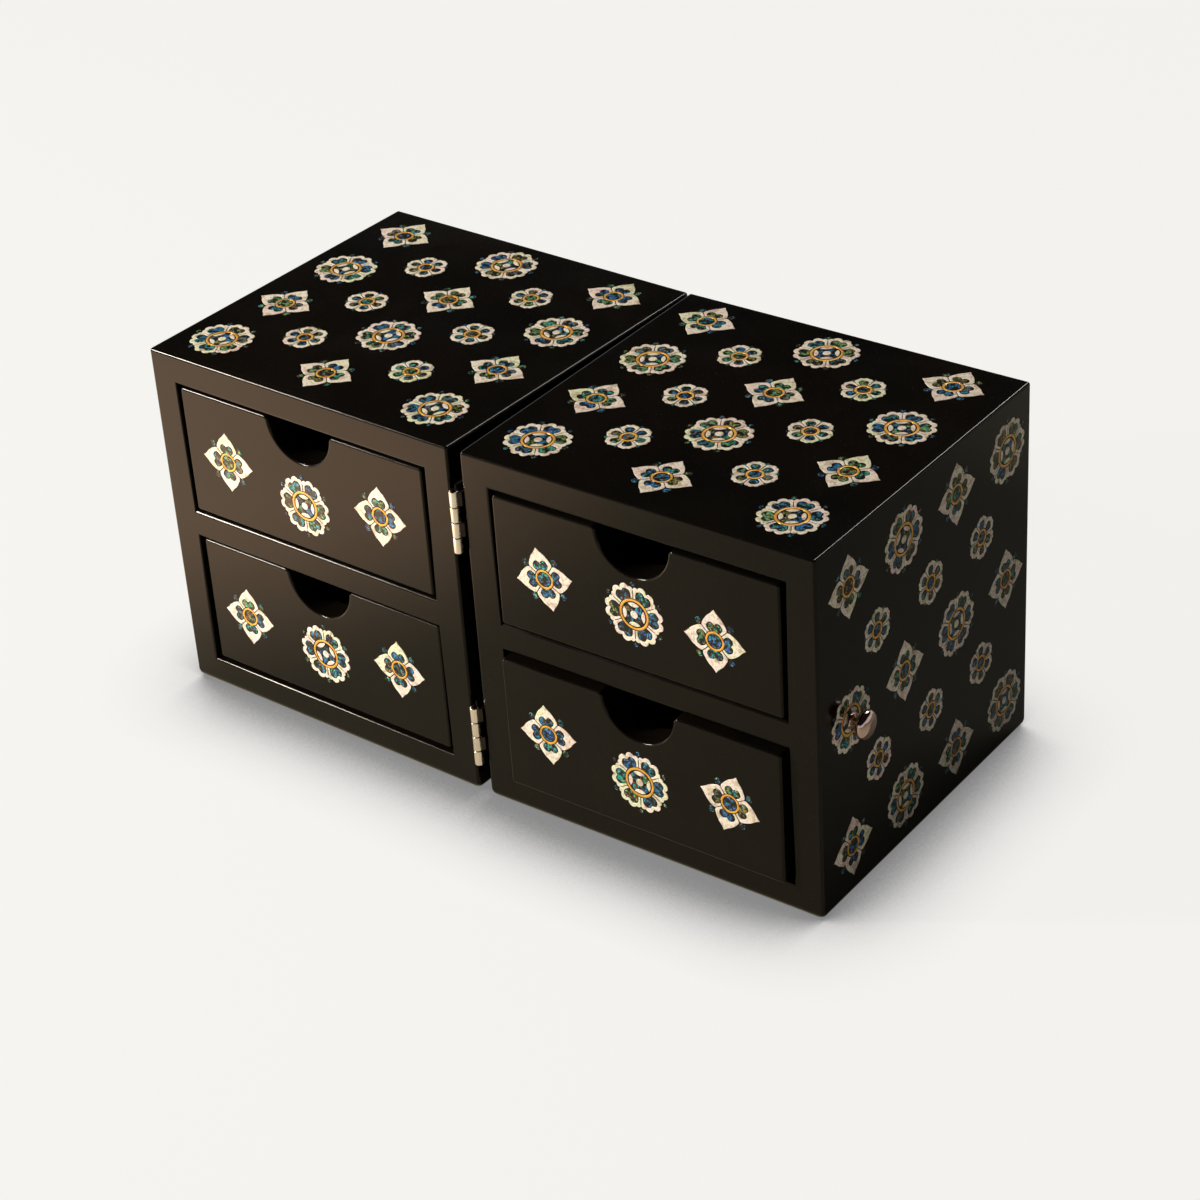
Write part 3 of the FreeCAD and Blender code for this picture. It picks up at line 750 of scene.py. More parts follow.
def case_shape(side, settings):
    """One seamless lacquered case: rounded outside, with two open bays."""
    boards = {name: own_box(side, f"{side}_{name}") for name in CASE_BOARDS}
    x0, y0, z0 = boards["bottom_panel"][0]
    x1, y1, z1 = boards["top_panel"][1]
    left, right = boards["inner_side_panel"][1].x, boards["outer_side_panel"][0].x
    rear = boards["back_panel"][0].y
    low, high = boards["bottom_panel"][1].z, boards["top_panel"][0].z
    shelf_low, shelf_high = (corner.z for corner in boards["drawer_shelf"])
    foot, edge = settings.foot_round, settings.edge_round
    finest = edge / 10

    def level(inset, radius, height):
        corners = round_corners(x0, y0, x1, y1, inset + radius, radius)
        return [(*point, height) for run in corners for point in run]

    shape = bmesh.new()
    under = [
        level(inset, edge + inset, z0 + foot - height)
        for inset, height in round_levels(foot, 0.0, foot)[:0:-1]
    ]
    skin(shape, under + [
        level(inset, max(edge - inset, finest), height)
        for inset, height in round_levels(edge, z0, z1)[1:]
    ])
    front, = (
        face for face in shape.faces if all(vert.co.y < y0 + finest / 10 for vert in face.verts)
    )
    middle = front.calc_center_median()
    bottom_left, bottom_right, top_left, top_right = sorted(
        front.verts, key=lambda vert: (vert.co.z > middle.z, vert.co.x > middle.x)
    )
    bmesh.ops.delete(shape, geom=[front], context="FACES_ONLY")

    bays, lips = [], []
    for bay_low, bay_high in ((low, shelf_low), (shelf_high, high)):
        square = [(left, bay_low), (right, bay_low), (right, bay_high), (left, bay_high)]
        mouth = [shape.verts.new((x, y0, z)) for x, z in square]
        deep = [shape.verts.new((x, rear, z)) for x, z in square]
        for i in range(4):
            j = (i + 1) % 4
            shape.faces.new((mouth[i], mouth[j], deep[j], deep[i]))
            lips.append(shape.edges.get((mouth[i], mouth[j])))
        shape.faces.new(deep)
        bays.append(mouth)
    lower, upper = bays
    for frame_face in (
        (bottom_left, bottom_right, lower[1], lower[0]),
        (top_right, top_left, upper[3], upper[2]),
        (lower[3], lower[2], upper[1], upper[0]),
        (top_left, bottom_left, lower[0], lower[3], upper[0], upper[3]),
        (bottom_right, top_right, upper[2], upper[1], lower[2], lower[1]),
    ):
        shape.faces.new(frame_face)
    bmesh.ops.bevel(
        shape, geom=lips, offset=settings.lip_round, segments=ROUND_STEPS, profile=0.5,
        affect="EDGES",
    )
    return shape


def front_outline(low, high, settings):
    """The outline of a drawer front, seen from the front, with its finger notch."""
    corner, radius, shoulder = settings.corner_round, settings.notch_radius, settings.notch_shoulder
    corners = round_corners(low.x, low.z, high.x, high.z, corner, corner)
    middle = Vector(((low.x + high.x) / 2, high.z))
    reach = math.sqrt((radius + shoulder) ** 2 - shoulder ** 2)
    lean = math.degrees(math.atan2(shoulder, reach))
    turn, bowl = 90 - lean, 180 - 2 * lean
    right, left = (middle + Vector((across, -shoulder)) for across in (reach, -reach))
    notch = arc(right, shoulder, 90, turn, ARC_STEPS)
    notch += arc(middle, radius, -lean, -bowl, BOWL_STEPS)[1:-1]
    notch += arc(left, shoulder, lean, turn, ARC_STEPS)
    return corners[0] + corners[1] + corners[2] + notch + corners[3]


def rounded_block(shape, low, high, radius, segments=3):
    """A board with every edge rounded, added to the shape."""
    made = bmesh.ops.create_cube(shape, size=1.0)["verts"]
    bmesh.ops.scale(shape, vec=high - low, verts=made)
    bmesh.ops.translate(shape, vec=(low + high) / 2, verts=made)
    edges = list({edge for vert in made for edge in vert.link_edges})
    bmesh.ops.bevel(
        shape, geom=edges, offset=radius, segments=segments, profile=0.5, affect="EDGES"
    )


def lining_walls(low, high, notch_middle, notch_top, settings):
    """The velvet on a drawer's four walls, its top edge rolled over, notched in front."""
    wall, floor = settings.lining_wall, low.z
    roll = wall * 0.45
    shape = bmesh.new()
    for start, end in (
        ((low.x, low.y + wall), (low.x + wall, high.y)),
        ((high.x - wall, low.y + wall), (high.x, high.y)),
        ((low.x + wall, high.y - wall), (high.x - wall, high.y)),
    ):
        rounded_block(shape, Vector((*start, floor)), Vector((*end, high.z)), roll, 4)

    radius = settings.notch_radius + settings.notch_margin
    half_open = math.degrees(math.asin((notch_top - high.z) / radius))
    middle = Vector((notch_middle, notch_top))
    notch = arc(middle, radius, -half_open, 2 * half_open - 180, LINING_STEPS)
    outline = [
        Vector((low.x, floor)), Vector((high.x, floor)), Vector((high.x, high.z)), *notch,
        Vector((low.x, high.z)),
    ]
    levels = [(roll, 0.0)]
    for k in range(1, ROLL_STEPS + 1):
        turn = math.pi / 2 * k / ROLL_STEPS
        levels.append((roll * (1 - math.sin(turn)), roll * (1 - math.cos(turn))))
    levels += [(inset, wall - depth) for inset, depth in reversed(levels)]
    prism(shape, outline, levels, lambda x, z, out: Vector((x, low.y + wall - out, z)))
    return shape


def lining_pad(low, high, settings):
    """The padded floor: a low cushion, crowned in the middle and drawn in at its rim."""
    wall = settings.lining_wall
    x0, x1 = low.x + wall, high.x - wall
    y0, y1 = low.y + wall, high.y - wall
    thick = settings.lining_floor - settings.pad_crown
    rim = thick * 0.9

    def height(x, y):
        edge = min(x - x0, x1 - x, y - y0, y1 - y)
        rise = math.sqrt(max(0.0, 1 - (1 - min(edge / rim, 1.0)) ** 2))
        crown = math.sin(math.pi * (x - x0) / (x1 - x0)) * math.sin(math.pi * (y - y0) / (y1 - y0))
        return low.z + thick * rise + settings.pad_crown * crown ** 0.7 * rise

    shape = bmesh.new()
    runs = [0.5 - 0.5 * math.cos(math.pi * k / PAD_CELLS) for k in range(PAD_CELLS + 1)]
    grid = []
    for across in runs:
        x = x0 + (x1 - x0) * across
        spots = [(x, y0 + (y1 - y0) * along) for along in runs]
        grid.append([shape.verts.new((x, y, height(x, y))) for x, y in spots])
    for here, there in zip(grid, grid[1:]):
        for j in range(PAD_CELLS):
            shape.faces.new((here[j], there[j], there[j + 1], here[j + 1]))
    border = [run[0] for run in grid] + grid[-1][1:] + [run[-1] for run in grid[-2::-1]]
    shape.faces.new((border + grid[0][-2:0:-1])[::-1])
    return shape


# Flower motifs, drawn about their middle with lengths in millimetres and the
# first petal along x

def bite(heart, line):
    """The gap in a petal that takes a heart: its curve moved outward by a line's width."""
    moved = []
    for i, point in enumerate(heart):
        before = heart[max(i - 1, 0)]
        after = heart[min(i + 1, len(heart) - 1)]
        along = (after - before).normalized()
        moved.append(point + Vector((along.y, -along.x)) * line)
    nearest = 0.97 * line
    return [p for p in moved if min((p - q).length for q in heart) > nearest]


def petal(rim, heart, ring, line, half_step):
    """A petal's outline: its rim, its straight sides, and the bite that takes the heart."""
    side = math.radians(half_step)
    gap = Vector((math.sin(side), -math.cos(side))) * (line / 2)

    def beside(radius, way):
        point = polar(radius, half_step) + gap
        return Vector((point.x, point.y * way))

    foot = ring + line
    start = rim[0].length - line
    round_heart = [point for point in bite(heart, line)[::-1] if point.length > foot]
    return [
        beside(start, -1), *rim[1:-1], beside(start, 1), beside(foot, 1), *round_heart,
        beside(foot, -1),
    ]


def mirrored_curve(half, steps):
    """An open curve through the mirror images of points that end on x, and back through them."""
    lower = [Vector((x, -y)) for x, y in half]
    upper = [Vector(point) for point in half[::-1]]
    return curve_through(lower + upper[1:], steps)


def mirrored_above(half):
    """A rim that ends on x, carried on by its mirror image."""
    return half + [Vector((p.x, -p.y)) for p in half[-2::-1]]


def turned(points, degrees):
    """An outline turned about the motif's middle."""
    turn = Matrix.Rotation(math.radians(degrees), 2)
    return [turn @ point for point in points]


def curl(away, bead, line, rim):
    """A round bead beyond the petals along x, and the thin rim that hugs it."""
    wrap, steps = 105, 16
    outer, inner = [], []
    for k in range(steps + 1):
        bearing = -wrap + 2 * wrap * k / steps
        swell = 0.7 + 0.3 * math.cos(math.radians(90 * bearing / wrap))
        outer.append(polar(bead + line + rim * swell, bearing))
        inner.append(polar(bead + line, bearing))
    middle = Vector((away, 0.0))
    return disc(bead, 20, middle), [middle + p for p in outer + inner[::-1]]


def petals(count, rim, heart, ring, line, bead_and_rim):
    """A flower's petals in nacre, and their hearts and the curls between them in abalone."""
    step = 360 / count
    nacre, abalone = [], []
    for i in range(count):
        nacre.append(turned(petal(rim, heart, ring, line, step / 2), step * i))
        abalone.append(turned(heart, step * i))
        abalone += [turned(outline, step * (i + 0.5)) for outline in bead_and_rim]
    return nacre, abalone


def scalloped(size, cusps, crests):
    """A rim of small arcs that bulge through the crests between cusps, mirrored above x.

    Each cusp and crest is a share of the petal's size and a bearing.
    """
    cusps, crests = ([polar(size * out, way) for out, way in run] for run in (cusps, crests))
    half = []
    for start, crest, end in zip(cusps, crests, cusps[1:]):
        half += arc_between(start, crest, end, ARC_STEPS)[:-1]
    return mirrored_above(half + cusps[-1:])


def rosette(line):
    """Six petals of four lobes, with abalone hearts, round a gilt ring with a star inside."""
    ring, ring_inside = 5.0, 4.25
    heart = mirrored_curve([(ring, 1.55), (6.0, 2.2), (7.2, 2.4), (8.2, 1.3), (7.7, 0.0)], 5)
    rim = scalloped(
        10.0, ((0.79, -30), (0.895, -20), (0.895, 0)), ((0.90, -26.5), (1.005, -10.5))
    )
    nacre, abalone = petals(6, rim, heart, ring, line, curl(9.85, 0.48, 0.5 * line, 0.20))
    star, lens_end, near_disc, arm_end = 3.85, 31, 1.42, 3.75
    lens = arc_between(polar(star, lens_end), Vector((2.45, 0)), polar(star, -lens_end), 8)
    lens += arc(Vector((0, 0)), star, -lens_end, 2 * lens_end, 8)[1:-1]
    arm = [polar(near_disc, way) for way in (6, 25, 45, 65, 84)]
    arm += [Vector((0.55, 2.30)), Vector((1.50, 2.75)), polar(arm_end, 52), polar(arm_end, 38),
            Vector((2.75, 1.50)), Vector((2.30, 0.55))]
    for i in range(4):
        nacre.append(turned(lens, 90 * i))
        abalone.append(turned(arm, 90 * i))
    nacre.append(disc(1.25))
    return nacre, abalone, (ring_inside, ring), []


def square_flower(line):
    """Four pointed petals with two-lobed abalone hearts, and curls between them."""
    size, ring, ring_inside = 10.3, 3.1, 2.45
    heart = mirrored_curve(
        [(ring, 1.0), (3.5, 1.9), (4.5, 2.45), (5.5, 1.95), (5.8, 1.05), (5.15, 0.0)], 5
    )
    valley, shoulder = polar(0.60 * size, -45), polar(0.81 * size, -15)
    swell = arc_between(valley, polar(0.68 * size, -31), shoulder, 6)
    neck = arc_between(shoulder, polar(0.90 * size, -5.2), polar(size, 0), 5)
    rim = mirrored_above(swell + neck[1:])
    nacre, abalone = petals(4, rim, heart, ring, line, curl(7.4, 0.80, 0.6 * line, 0.22))
    abalone.append(disc(ring_inside - line))
    tab = [polar(ring - 0.25, -14), Vector((4.15, 0.0)), polar(ring - 0.25, 14)]
    return nacre, abalone, (ring_inside, ring), [turned(tab, 90 * i) for i in range(4)]


def small_flower(line):
    """Six round petals with abalone drops round a gilt ring."""
    ring, ring_inside = 2.65, 1.95
    heart = mirrored_curve([(ring, 0.5), (3.4, 0.95), (4.4, 1.25), (5.2, 0.85), (5.4, 0.0)], 4)
    rim = scalloped(7.0, ((0.76, -30), (0.93, -14), (0.95, 0)), ((0.90, -23), (1.0, -7)))
    nacre, abalone = petals(6, rim, heart, ring, line, curl(6.3, 0.30, 0.5 * line, 0.20))
    abalone.append(disc(ring_inside - line))
    return nacre, abalone, (ring_inside, ring), []


MOTIFS = {"rosette": rosette, "square_flower": square_flower, "small_flower": small_flower}


def as_arrays(shape):
    """A bmesh's points, its faces as lists of point numbers, and each point's piece."""
    shape.verts.ensure_lookup_table()
    shape.verts.index_update()
    piece_of = {}
    count = 0
    for start in shape.verts:
        if start.index in piece_of:
            continue
        waiting = [start]
        piece_of[start.index] = count
        while waiting:
            for edge in waiting.pop().link_edges:
                for vert in edge.verts:
                    if vert.index not in piece_of:
                        piece_of[vert.index] = count
                        waiting.append(vert)
        count += 1
    points = np.array([vert.co for vert in shape.verts])
    faces = [[vert.index for vert in face.verts] for face in shape.faces]
    pieces = np.array([piece_of[k] for k in range(len(points))])
    shape.free()
    return points, faces, pieces, count


def gilt_ring(shape, inner, outer, base, height):
    """A half-round gilt line bent into a ring."""
    around, across = 56, 8
    middle, half = (inner + outer) / 2, (outer - inner) / 2
    profile = [(middle + half, base)]
    for k in range(across + 1):
        turn = math.pi * k / across
        profile.append((middle + half * math.cos(turn), height * math.sin(turn)))
    profile.append((middle - half, base))
    rings = [
        [shape.verts.new((spot.x * radius, spot.y * radius, z)) for radius, z in profile]
        for spot in disc(1.0, around)
    ]
    for here, there in zip(rings, rings[1:] + rings[:1]):
        for k in range(len(profile)):
            shape.faces.new((here[k - 1], there[k - 1], there[k], here[k]))


def motif_parts(kind, settings):
    """One motif's nacre, abalone and gilt, each as arrays in metres."""
    nacre, abalone, ring, tabs = MOTIFS[kind](settings.line / MM)
    base, proud, arris = -settings.sunk, settings.proud, settings.arris
    made = {}
    for finish, outlines, shoulder, top in (
        ("nacre", nacre, proud - arris, proud),
        ("abalone", abalone, proud - 1.3 * arris, proud - 0.3 * arris),
        ("gilt", tabs, proud * 0.6, proud * 0.8),
    ):
        shape = bmesh.new()
        levels = [(0.0, base), (0.0, shoulder), (arris, top)]
        for outline in outlines:
            prism(shape, [p * MM for p in outline], levels, lambda *place: Vector(place))
        if finish == "gilt":
            gilt_ring(shape, *(radius * MM for radius in ring), base, proud)
        bmesh.ops.recalc_face_normals(shape, faces=shape.faces)
        made[finish] = as_arrays(shape)
    return made


def motifs_on(side, node, right, up):
    """Each motif of an inlay node: its kind, its middle on the lacquer and its turn.

    The node holds one plate for each motif, and a plate's outline tells its
    kind by its reach, and its turn by its tips or by the valleys between its
    petals.
    """
    out = right.cross(up)
    shape = bmesh.new()
    shape.from_mesh(frame["nodes"][node].data)
    shape.transform(PLACE[side].inverted())
    bmesh.ops.remove_doubles(shape, verts=shape.verts, dist=1e-6)
    points, _, pieces, count = as_arrays(shape)
    across, rise, height = (points @ np.array(v) for v in (right, up, out))
    found = []
    for k in range(count):
        here = pieces == k
        u, v = across[here], rise[here]
        middle_u, middle_v = (u.min() + u.max()) / 2, (v.min() + v.max()) / 2
        radius = np.hypot(u - middle_u, v - middle_v)
        bearing = np.degrees(np.arctan2(v - middle_v, u - middle_u))
        reach = radius.max()
        if reach > SQUARE_FLOWER_REACH:
            kind, turn = "square_flower", bearing[radius.argmax()] % 90
        else:
            kind = "rosette" if reach > ROSETTE_REACH else "small_flower"
            beyond_hearts = 0.7 * reach
            rim = np.where(radius > beyond_hearts, radius, np.inf)
            turn = (bearing[rim.argmin()] - 30) % 60
        found.append((kind, middle_u, middle_v, turn, height[here].max()))
    return found


def inlay_face(side, node, right, up, settings, parts):
    """Lay every motif of one face: a nacre, an abalone and a gilt piece."""
    out = right.cross(up)
    body = frame["nodes"][node]["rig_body"]
    motifs = motifs_on(side, node, right, up)
    luck = random.Random(node)
    name = node[:-len("_inlay")]
    for finish, material, replaced in (
        ("nacre", "mother of pearl", (node,)), ("abalone", "abalone", ()), ("gilt", "gilt", ())
    ):
        points, faces, seeds, total = [], [], [], 0
        for kind, across, rise, turn, top in motifs:
            drawn, drawn_faces, pieces, count = parts[kind][finish]
            lean = math.radians(turn)
            along = right * math.cos(lean) + up * math.sin(lean)
            beside = up * math.cos(lean) - right * math.sin(lean)
            axes = np.array([along, beside, out])
            foot = np.array(right * across + up * rise + out * (top - settings.proud))
            points.append(drawn @ axes + foot)
            faces += [[total + k for k in face] for face in drawn_faces]
            total += len(drawn)
            draws = np.array([[luck.random() for _ in range(3)] for _ in range(count)])
            seeds.append(draws[pieces])
        mesh = bpy.data.meshes.new(f"{name}_{finish}")
        mesh.from_pydata(np.concatenate(points).tolist(), [], faces)
        seed = mesh.attributes.new("piece_seed", "FLOAT_VECTOR", "POINT")
        seed.data.foreach_set("vector", np.concatenate(seeds).astype(np.float32).ravel())
        mesh.shade_smooth()
        mesh.set_sharp_from_angle(angle=math.radians(SHELL_CREASE))
        link_piece(f"{name}_{finish}", mesh, side, body, material, replaced)


def knuckles(side, low, high, settings):
    """One leaf's knuckles: every other one of the four, from the top one down."""
    shape = bmesh.new()
    pitch = (high.z - low.z) / KNUCKLES
    circle = disc(settings.knuckle_radius, 36)
    for i in OWN_KNUCKLES[side]:
        top = high.z - pitch * i - (settings.knuckle_gap / 2 if i > 0 else 0.0)
        foot = high.z - pitch * (i + 1) + (settings.knuckle_gap / 2 if i < KNUCKLES - 1 else 0.0)
        rounded = round_levels(settings.knuckle_edge, 0.0, top - foot)
        under = [(inset, top - foot - level) for inset, level in rounded[:0:-1]]
        prism(
            shape, circle, under + rounded[1:], lambda x, y, z, foot=foot: Vector((x, y, foot + z))
        )
    return shape


def leaf_plate(side, low, high, settings):
    """The flat of a leaf on the cabinet's side, with the straps that run to its knuckles."""
    shape = bmesh.new()
    thick, start = settings.leaf_thick, settings.leaf_start
    inner = high.x - thick
    rounded_block(shape, Vector((inner, start, low.z)), high, thick * 0.15, segments=2)
    strap = [
        Vector((high.x, start + thick)), Vector((high.x, thick)), Vector((thick, -thick)),
        Vector((0.0, 0.0)), Vector((thick * 0.3, thick)), Vector((inner, 2 * thick)),
        Vector((inner, start + thick)),
    ]
    pitch = (high.z - low.z) / KNUCKLES
    levels = [(0.0, 0.0), (0.0, pitch - 2 * settings.knuckle_gap)]
    for i in OWN_KNUCKLES[side]:
        foot = high.z - pitch * (i + 1) + settings.knuckle_gap
        prism(shape, strap, levels, lambda x, y, z, foot=foot: Vector((x, y, foot + z)))
    return shape


def paint(node, material):
    """Give a carried-over CAD node its finish."""
    mesh = frame["nodes"][node].data
    mesh.materials.clear()
    mesh.materials.append(bpy.data.materials[material])


# Operators

class CABINETS_OT_cases(bpy.types.Operator):
    """Make the two lacquered cases"""

    bl_idname = "cabinets.cases"
    bl_label = "Cases"

    def execute(self, context):
        for side in SIDES:
            keep_flats_flat(close_piece(
                f"{side}_case", case_shape(side, context.scene.cabinet_case), side,
                f"{side}_cabinet", "black_lacquer", "black lacquer",
                [f"{side}_{board}" for board in CASE_BOARDS],
            ))
        return {"FINISHED"}


class CABINETS_OT_drawer_fronts(bpy.types.Operator):
    """Make the four drawer fronts with their finger notches"""

    bl_idname = "cabinets.drawer_fronts"
    bl_label = "Drawer fronts"

    def execute(self, context):
        settings = context.scene.cabinet_drawers
        for side, drawer in each_drawer():
            low, high = own_box(side, f"{drawer}_front")
            shape = bmesh.new()
            prism(
                shape, front_outline(low, high, settings),
                round_levels(settings.face_round, 0.0, high.y - low.y),
                lambda x, z, out: Vector((x, high.y - out, z)),
            )
            keep_flats_flat(close_piece(
                f"{drawer}_face", shape, side, drawer, "black_lacquer", "black lacquer",
                [f"{drawer}_front"],
            ))
        return {"FINISHED"}


class CABINETS_OT_drawer_boxes(bpy.types.Operator):
    """Make the boards of the four drawers"""

    bl_idname = "cabinets.drawer_boxes"
    bl_label = "Drawer boxes"

    def execute(self, context):
        for side, drawer in each_drawer():
            boards = [f"{drawer}_{board}" for board in DRAWER_BOARDS]
            shape = bmesh.new()
            for board in boards:
                rounded_block(
                    shape, *own_box(side, board), context.scene.cabinet_drawers.board_round
                )
            keep_flats_flat(close_piece(
                f"{drawer}_box", shape, side, drawer, "drawer_wood", "satin boards", boards
            ))
        return {"FINISHED"}


class CABINETS_OT_linings(bpy.types.Operator):
    """Line the four drawers with velvet"""

    bl_idname = "cabinets.linings"
    bl_label = "Velvet linings"

    def execute(self, context):
        settings = context.scene.cabinet_drawers
        for side, drawer in each_drawer():
            low, high = own_box(side, f"{drawer}_lining")
            front_low, front_high = own_box(side, f"{drawer}_front")
            middle = (front_low.x + front_high.x) / 2
            velvet = (side, drawer, "velvet_lining", "velvet", [f"{drawer}_lining"])
            walls = lining_walls(low, high, middle, front_high.z, settings)
            piece = close_piece(f"{drawer}_velvet_walls", walls, *velvet, crease=60.0)
            pad = lining_pad(low, high, settings)
            piece = close_piece(f"{drawer}_velvet_pad", pad, *velvet, crease=80.0)
        return {"FINISHED"}


class CABINETS_OT_inlays(bpy.types.Operator):
    """Lay the shell flowers on every face"""

    bl_idname = "cabinets.inlays"
    bl_label = "Shell inlays"

    def execute(self, context):
        settings = context.scene.cabinet_inlays
        x_axis, y_axis, z_axis = Vector((1, 0, 0)), Vector((0, 1, 0)), Vector((0, 0, 1))
        parts = {kind: motif_parts(kind, settings) for kind in MOTIFS}
        for side in SIDES:
            inlay_face(side, f"{side}_top_inlay", x_axis, y_axis, settings, parts)
            inlay_face(side, f"{side}_side_inlay", y_axis, z_axis, settings, parts)
            inlay_face(side, f"{side}_back_inlay", -x_axis, z_axis, settings, parts)
            for level in LEVELS:
                node = f"{side}_{level}_drawer_inlay"
                inlay_face(side, node, x_axis, z_axis, settings, parts)
        return {"FINISHED"}


class CABINETS_OT_hinges(bpy.types.Operator):
    """Make the hinge leaves and finish their pins and screws"""

    bl_idname = "cabinets.hinges"
    bl_label = "Hinges"

    def execute(self, context):
        for side in SIDES:
            for level in LEVELS:
                node = f"{level}_hinge_{side}_leaf"
                # The leaves' plates and straps are painted near-black: painted shade in the gap
                # between the cabinets
                for make, part, material in (
                    (knuckles, "knuckles", "nickel"), (leaf_plate, "plate", "shade_darkened nickel")
                ):
                    shape = make(side, *own_box(side, node), context.scene.cabinet_metal)
                    close_piece(
                        f"{node}_{part}", shape, side, f"{side}_cabinet", "hinge_metal",
                        material, [node],
                    )
        for node in frame["nodes"]:
            if node.endswith("_hinge_pin"):
                paint(node, "nickel")
            # The screws are painted near-black too, as painted shade
            elif node.endswith("_hinge_screws"):
                paint(node, "shade_darkened nickel")
        return {"FINISHED"}


class CABINETS_OT_knobs(bpy.types.Operator):
    """Finish the knobs and their studs"""

    bl_idname = "cabinets.knobs"
    bl_label = "Knobs"

    def execute(self, context):
        for side in SIDES:
            paint(f"{side}_knob", "dark plate")
            paint(f"{side}_knob_stud", "nickel")
        return {"FINISHED"}


class CABINETS_OT_stage(bpy.types.Operator):
    """Set the pale floor, the soft light and the camera"""

    bl_idname = "cabinets.stage"
    bl_label = "Stage"

    def execute(self, context):
        scene = context.scene
        settings = scene.cabinet_stage
        make_floor(scene, settings)
        make_room(scene, settings)
        make_lights(scene, settings)
        make_camera(scene, settings)
        scene.view_settings.view_transform = "Standard"
        return {"FINISHED"}


def make_floor(scene, settings):
    """A plain pale floor, with the object's shadow painted into its own light.

    Mirrored rays see it in a warmer colour, a painted reflection, and they alone
    see a painted bright soft spot glowing at the front left.
    """
    half = settings.floor_size / 2
    mesh = bpy.data.meshes.new("floor")
    corners = [(-half, -half, 0), (half, -half, 0), (half, half, 0), (-half, half, 0)]
    mesh.from_pydata(corners, [], [(0, 1, 2, 3)])
    floor = bpy.data.objects.new("floor", mesh)
    scene.collection.objects.link(floor)
    tree, shader = new_material("pale floor")
    tree.nodes.remove(shader)
    # The object's shadow is painted into the floor's own light: occlusion, its hemisphere leaned a
    # little, draws the floor darker and a little bluer near the object
    lean = add(tree, "CombineXYZ", dict(enumerate(SHADOW_LEAN))).outputs[0]
    nook = add(
        tree, "AmbientOcclusion", {"Distance": settings.shadow_reach, "Normal": lean},
        samples=8,
    )
    painted_shadow = colour_ramp(tree, nook.outputs["AO"], PAINTED_SHADOW_RAMP)
    shaded = blend(tree, 1.0, settings.backdrop, painted_shadow, "MULTIPLY")
    plain = add(tree, "Emission", {"Color": shaded, "Strength": 1.0})
    ray = add(tree, "LightPath").outputs
    mirrored = maths(tree, "MAXIMUM", ray["Is Glossy Ray"], ray["Is Transmission Ray"])
    # Painted reflection: mirrored rays see the floor in a warmer colour than its own
    ground = blend(tree, mirrored, settings.floor, settings.mirrored)
    lit = add(tree, "BsdfDiffuse", {"Color": ground})
    seen = maths(tree, "MULTIPLY", ray["Is Camera Ray"], SEEN_SHARE)
    seen = maths(tree, "ADD", seen, maths(tree, "MULTIPLY", mirrored, MIRRORED_SHARE))
    both = add(tree, "MixShader", {0: seen, 1: lit.outputs[0], 2: plain.outputs[0]})

    # A painted reflection: a warm spot on the floor glows for mirrored rays alone, fading out from
    # its middle, for the lacquer fronts to mirror
    spot = {0: on_object(tree), 1: (*settings.glow_place, 0.0)}
    away = add(tree, "VectorMath", spot, operation="DISTANCE").outputs["Value"]
    reach = settings.glow_reach
    glow = spread(tree, away, reach * GLOW_CORE, reach, settings.glow, 0.0, "SMOOTHSTEP")
    glow = maths(tree, "MULTIPLY", glow, mirrored)
    warm = (*settings.glow_colour, 1.0)
    painted_reflection_spot = add(tree, "Emission", {"Color": warm, "Strength": glow})
    whole = add(tree, "AddShader", {0: both.outputs[0], 1: painted_reflection_spot.outputs[0]})
    feed(tree, tree.nodes["Material Output"].inputs["Surface"], whole.outputs[0])
    mesh.materials.append(bpy.data.materials["pale floor"])


def make_room(scene, settings):
    """The room all round: pale up to a little above the horizon, dim overhead."""
    world = bpy.data.worlds.new("studio room")
    scene.world = world
    world.use_nodes = True
    tree = world.node_tree
    ray = add(tree, "LightPath").outputs
    direction = add(tree, "TexCoord").outputs["Generated"]
    height = add(tree, "SeparateXYZ", {0: direction}).outputs[2]
    backdrop = colour_ramp(tree, height, ((PALE_BELOW, settings.floor), (DIM_ABOVE, DIM_ROOM)))
    pale = {"Color": (*settings.floor, 1.0), "Strength": settings.sky_strength}
    room = add(tree, "Background", pale)
    seen = add(tree, "Background", {"Color": backdrop, "Strength": 1.0})
    looked_at = maths(tree, "MAXIMUM", ray["Is Camera Ray"], ray["Is Glossy Ray"])
    looked_at = maths(tree, "MAXIMUM", looked_at, ray["Is Transmission Ray"])
    both = add(tree, "MixShader", {0: looked_at, 1: room.outputs[0], 2: seen.outputs[0]})
    feed(tree, tree.nodes["World Output"].inputs["Surface"], both.outputs[0])


def soft_light(scene, name, place, size, watts, tint):
    """A softbox that faces the object's middle."""
    lamp = bpy.data.lights.new(name, "AREA")
    lamp.shape = "RECTANGLE"
    lamp.size, lamp.size_y = size
    lamp.energy = watts
    lamp.color = tint
    light = bpy.data.objects.new(name, lamp)
    light.location = place
    light.rotation_euler = (OBJECT_MIDDLE - Vector(place)).to_track_quat("-Z", "Y").to_euler()
    light.visible_camera = False
    scene.collection.objects.link(light)
    return light


def make_lights(scene, settings):
    """The softboxes: a key at the front left, a weak fill and a strip for highlights behind."""
    for name, place, size, watts, tint in (
        ("key", (-0.87, -0.70, 0.60), (0.08, 0.40), settings.key_strength, (1.0, 0.94, 0.86)),
        ("fill", (-0.15, 0.50, 0.95), (0.4, 0.4), settings.fill_strength, (1.0, 0.98, 0.96)),
        ("strip", (0.16, 0.78, 0.84), (0.12, 0.45), settings.strip_strength, (1.0, 0.99, 0.97)),
    ):
        light = soft_light(scene, f"{name} softbox", place, size, watts, tint)
        light.visible_diffuse = name != "strip"


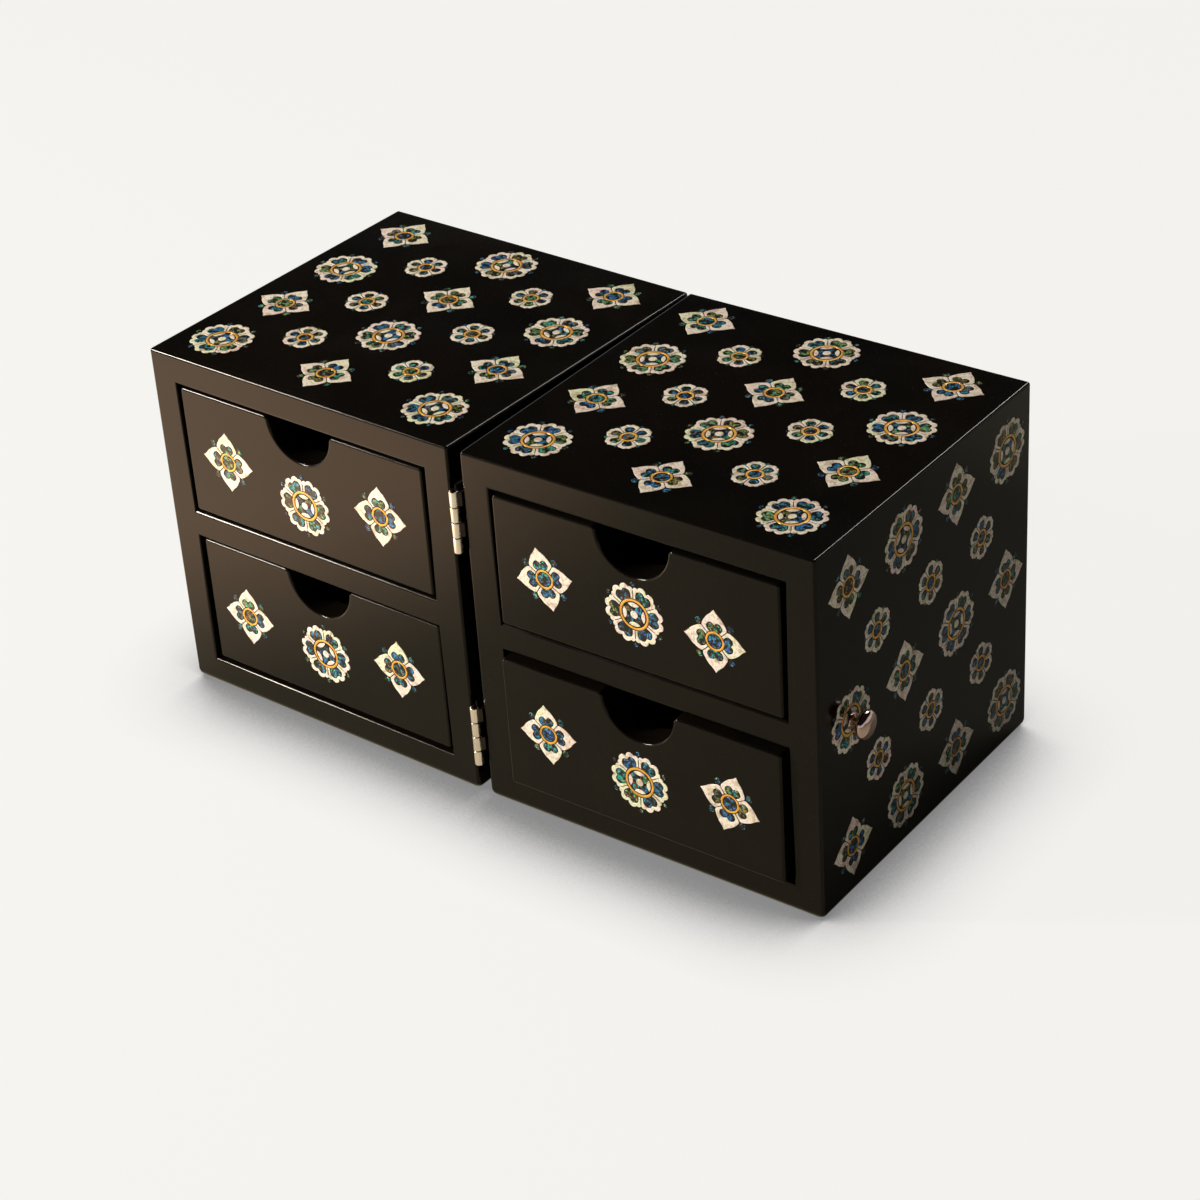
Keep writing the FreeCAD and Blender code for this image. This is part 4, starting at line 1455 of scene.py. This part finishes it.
def make_camera(scene, settings):
    """The photograph's camera."""
    data = bpy.data.cameras.new("camera")
    data.sensor_width = 36.0
    data.lens = settings.lens
    camera = bpy.data.objects.new("camera", data)
    heading, lift = settings.heading, settings.lift
    back = Vector((
        math.sin(heading) * math.cos(lift), -math.cos(heading) * math.cos(lift), math.sin(lift)
    ))
    level = (-back).to_track_quat("-Z", "Y").to_matrix().to_4x4()
    lean = Matrix.Rotation(settings.roll, 4, "Z")
    camera.matrix_world = Matrix.Translation(Vector(settings.camera_place)) @ level @ lean
    scene.collection.objects.link(camera)
    scene.camera = camera


class CABINETS_PT_build(bpy.types.Panel):
    """Lists the steps that dress the cabinets"""

    bl_label = "Jewellery Cabinets"
    bl_idname = "CABINETS_PT_build"
    bl_space_type = "VIEW_3D"
    bl_region_type = "UI"
    bl_category = "Cabinets"

    def draw(self, context):
        for step in STEPS:
            self.layout.operator(step.bl_idname)
        for name in SETTINGS:
            box = self.layout.box()
            group = getattr(context.scene, name)
            box.label(text=type(group).__doc__)
            for key in type(group).__annotations__:
                box.prop(group, key)


SETTINGS = {
    "cabinet_case": CaseSettings,
    "cabinet_drawers": DrawerSettings,
    "cabinet_inlays": InlaySettings,
    "cabinet_metal": MetalSettings,
    "cabinet_stage": StageSettings,
}
STEPS = (
    CABINETS_OT_stage,
    CABINETS_OT_cases,
    CABINETS_OT_drawer_fronts,
    CABINETS_OT_drawer_boxes,
    CABINETS_OT_linings,
    CABINETS_OT_inlays,
    CABINETS_OT_hinges,
    CABINETS_OT_knobs,
)


def register():
    """Register the settings, the steps and the panel."""
    for name, group in SETTINGS.items():
        bpy.utils.register_class(group)
        setattr(bpy.types.Scene, name, PointerProperty(type=group))
    for step in STEPS:
        bpy.utils.register_class(step)
    bpy.utils.register_class(CABINETS_PT_build)


def unregister():
    """Undo register."""
    bpy.utils.unregister_class(CABINETS_PT_build)
    for step in reversed(STEPS):
        bpy.utils.unregister_class(step)
    for name, group in SETTINGS.items():
        delattr(bpy.types.Scene, name)
        bpy.utils.unregister_class(group)


def main():
    """Dress the frame: register the steps, build the finishes and run every step."""
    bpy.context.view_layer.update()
    register()
    make_materials(bpy.context.scene)
    bpy.ops.cabinets.stage()
    bpy.ops.cabinets.cases()
    bpy.ops.cabinets.drawer_fronts()
    bpy.ops.cabinets.drawer_boxes()
    bpy.ops.cabinets.linings()
    bpy.ops.cabinets.inlays()
    bpy.ops.cabinets.hinges()
    bpy.ops.cabinets.knobs()


if __name__ == "__main__":
    main()
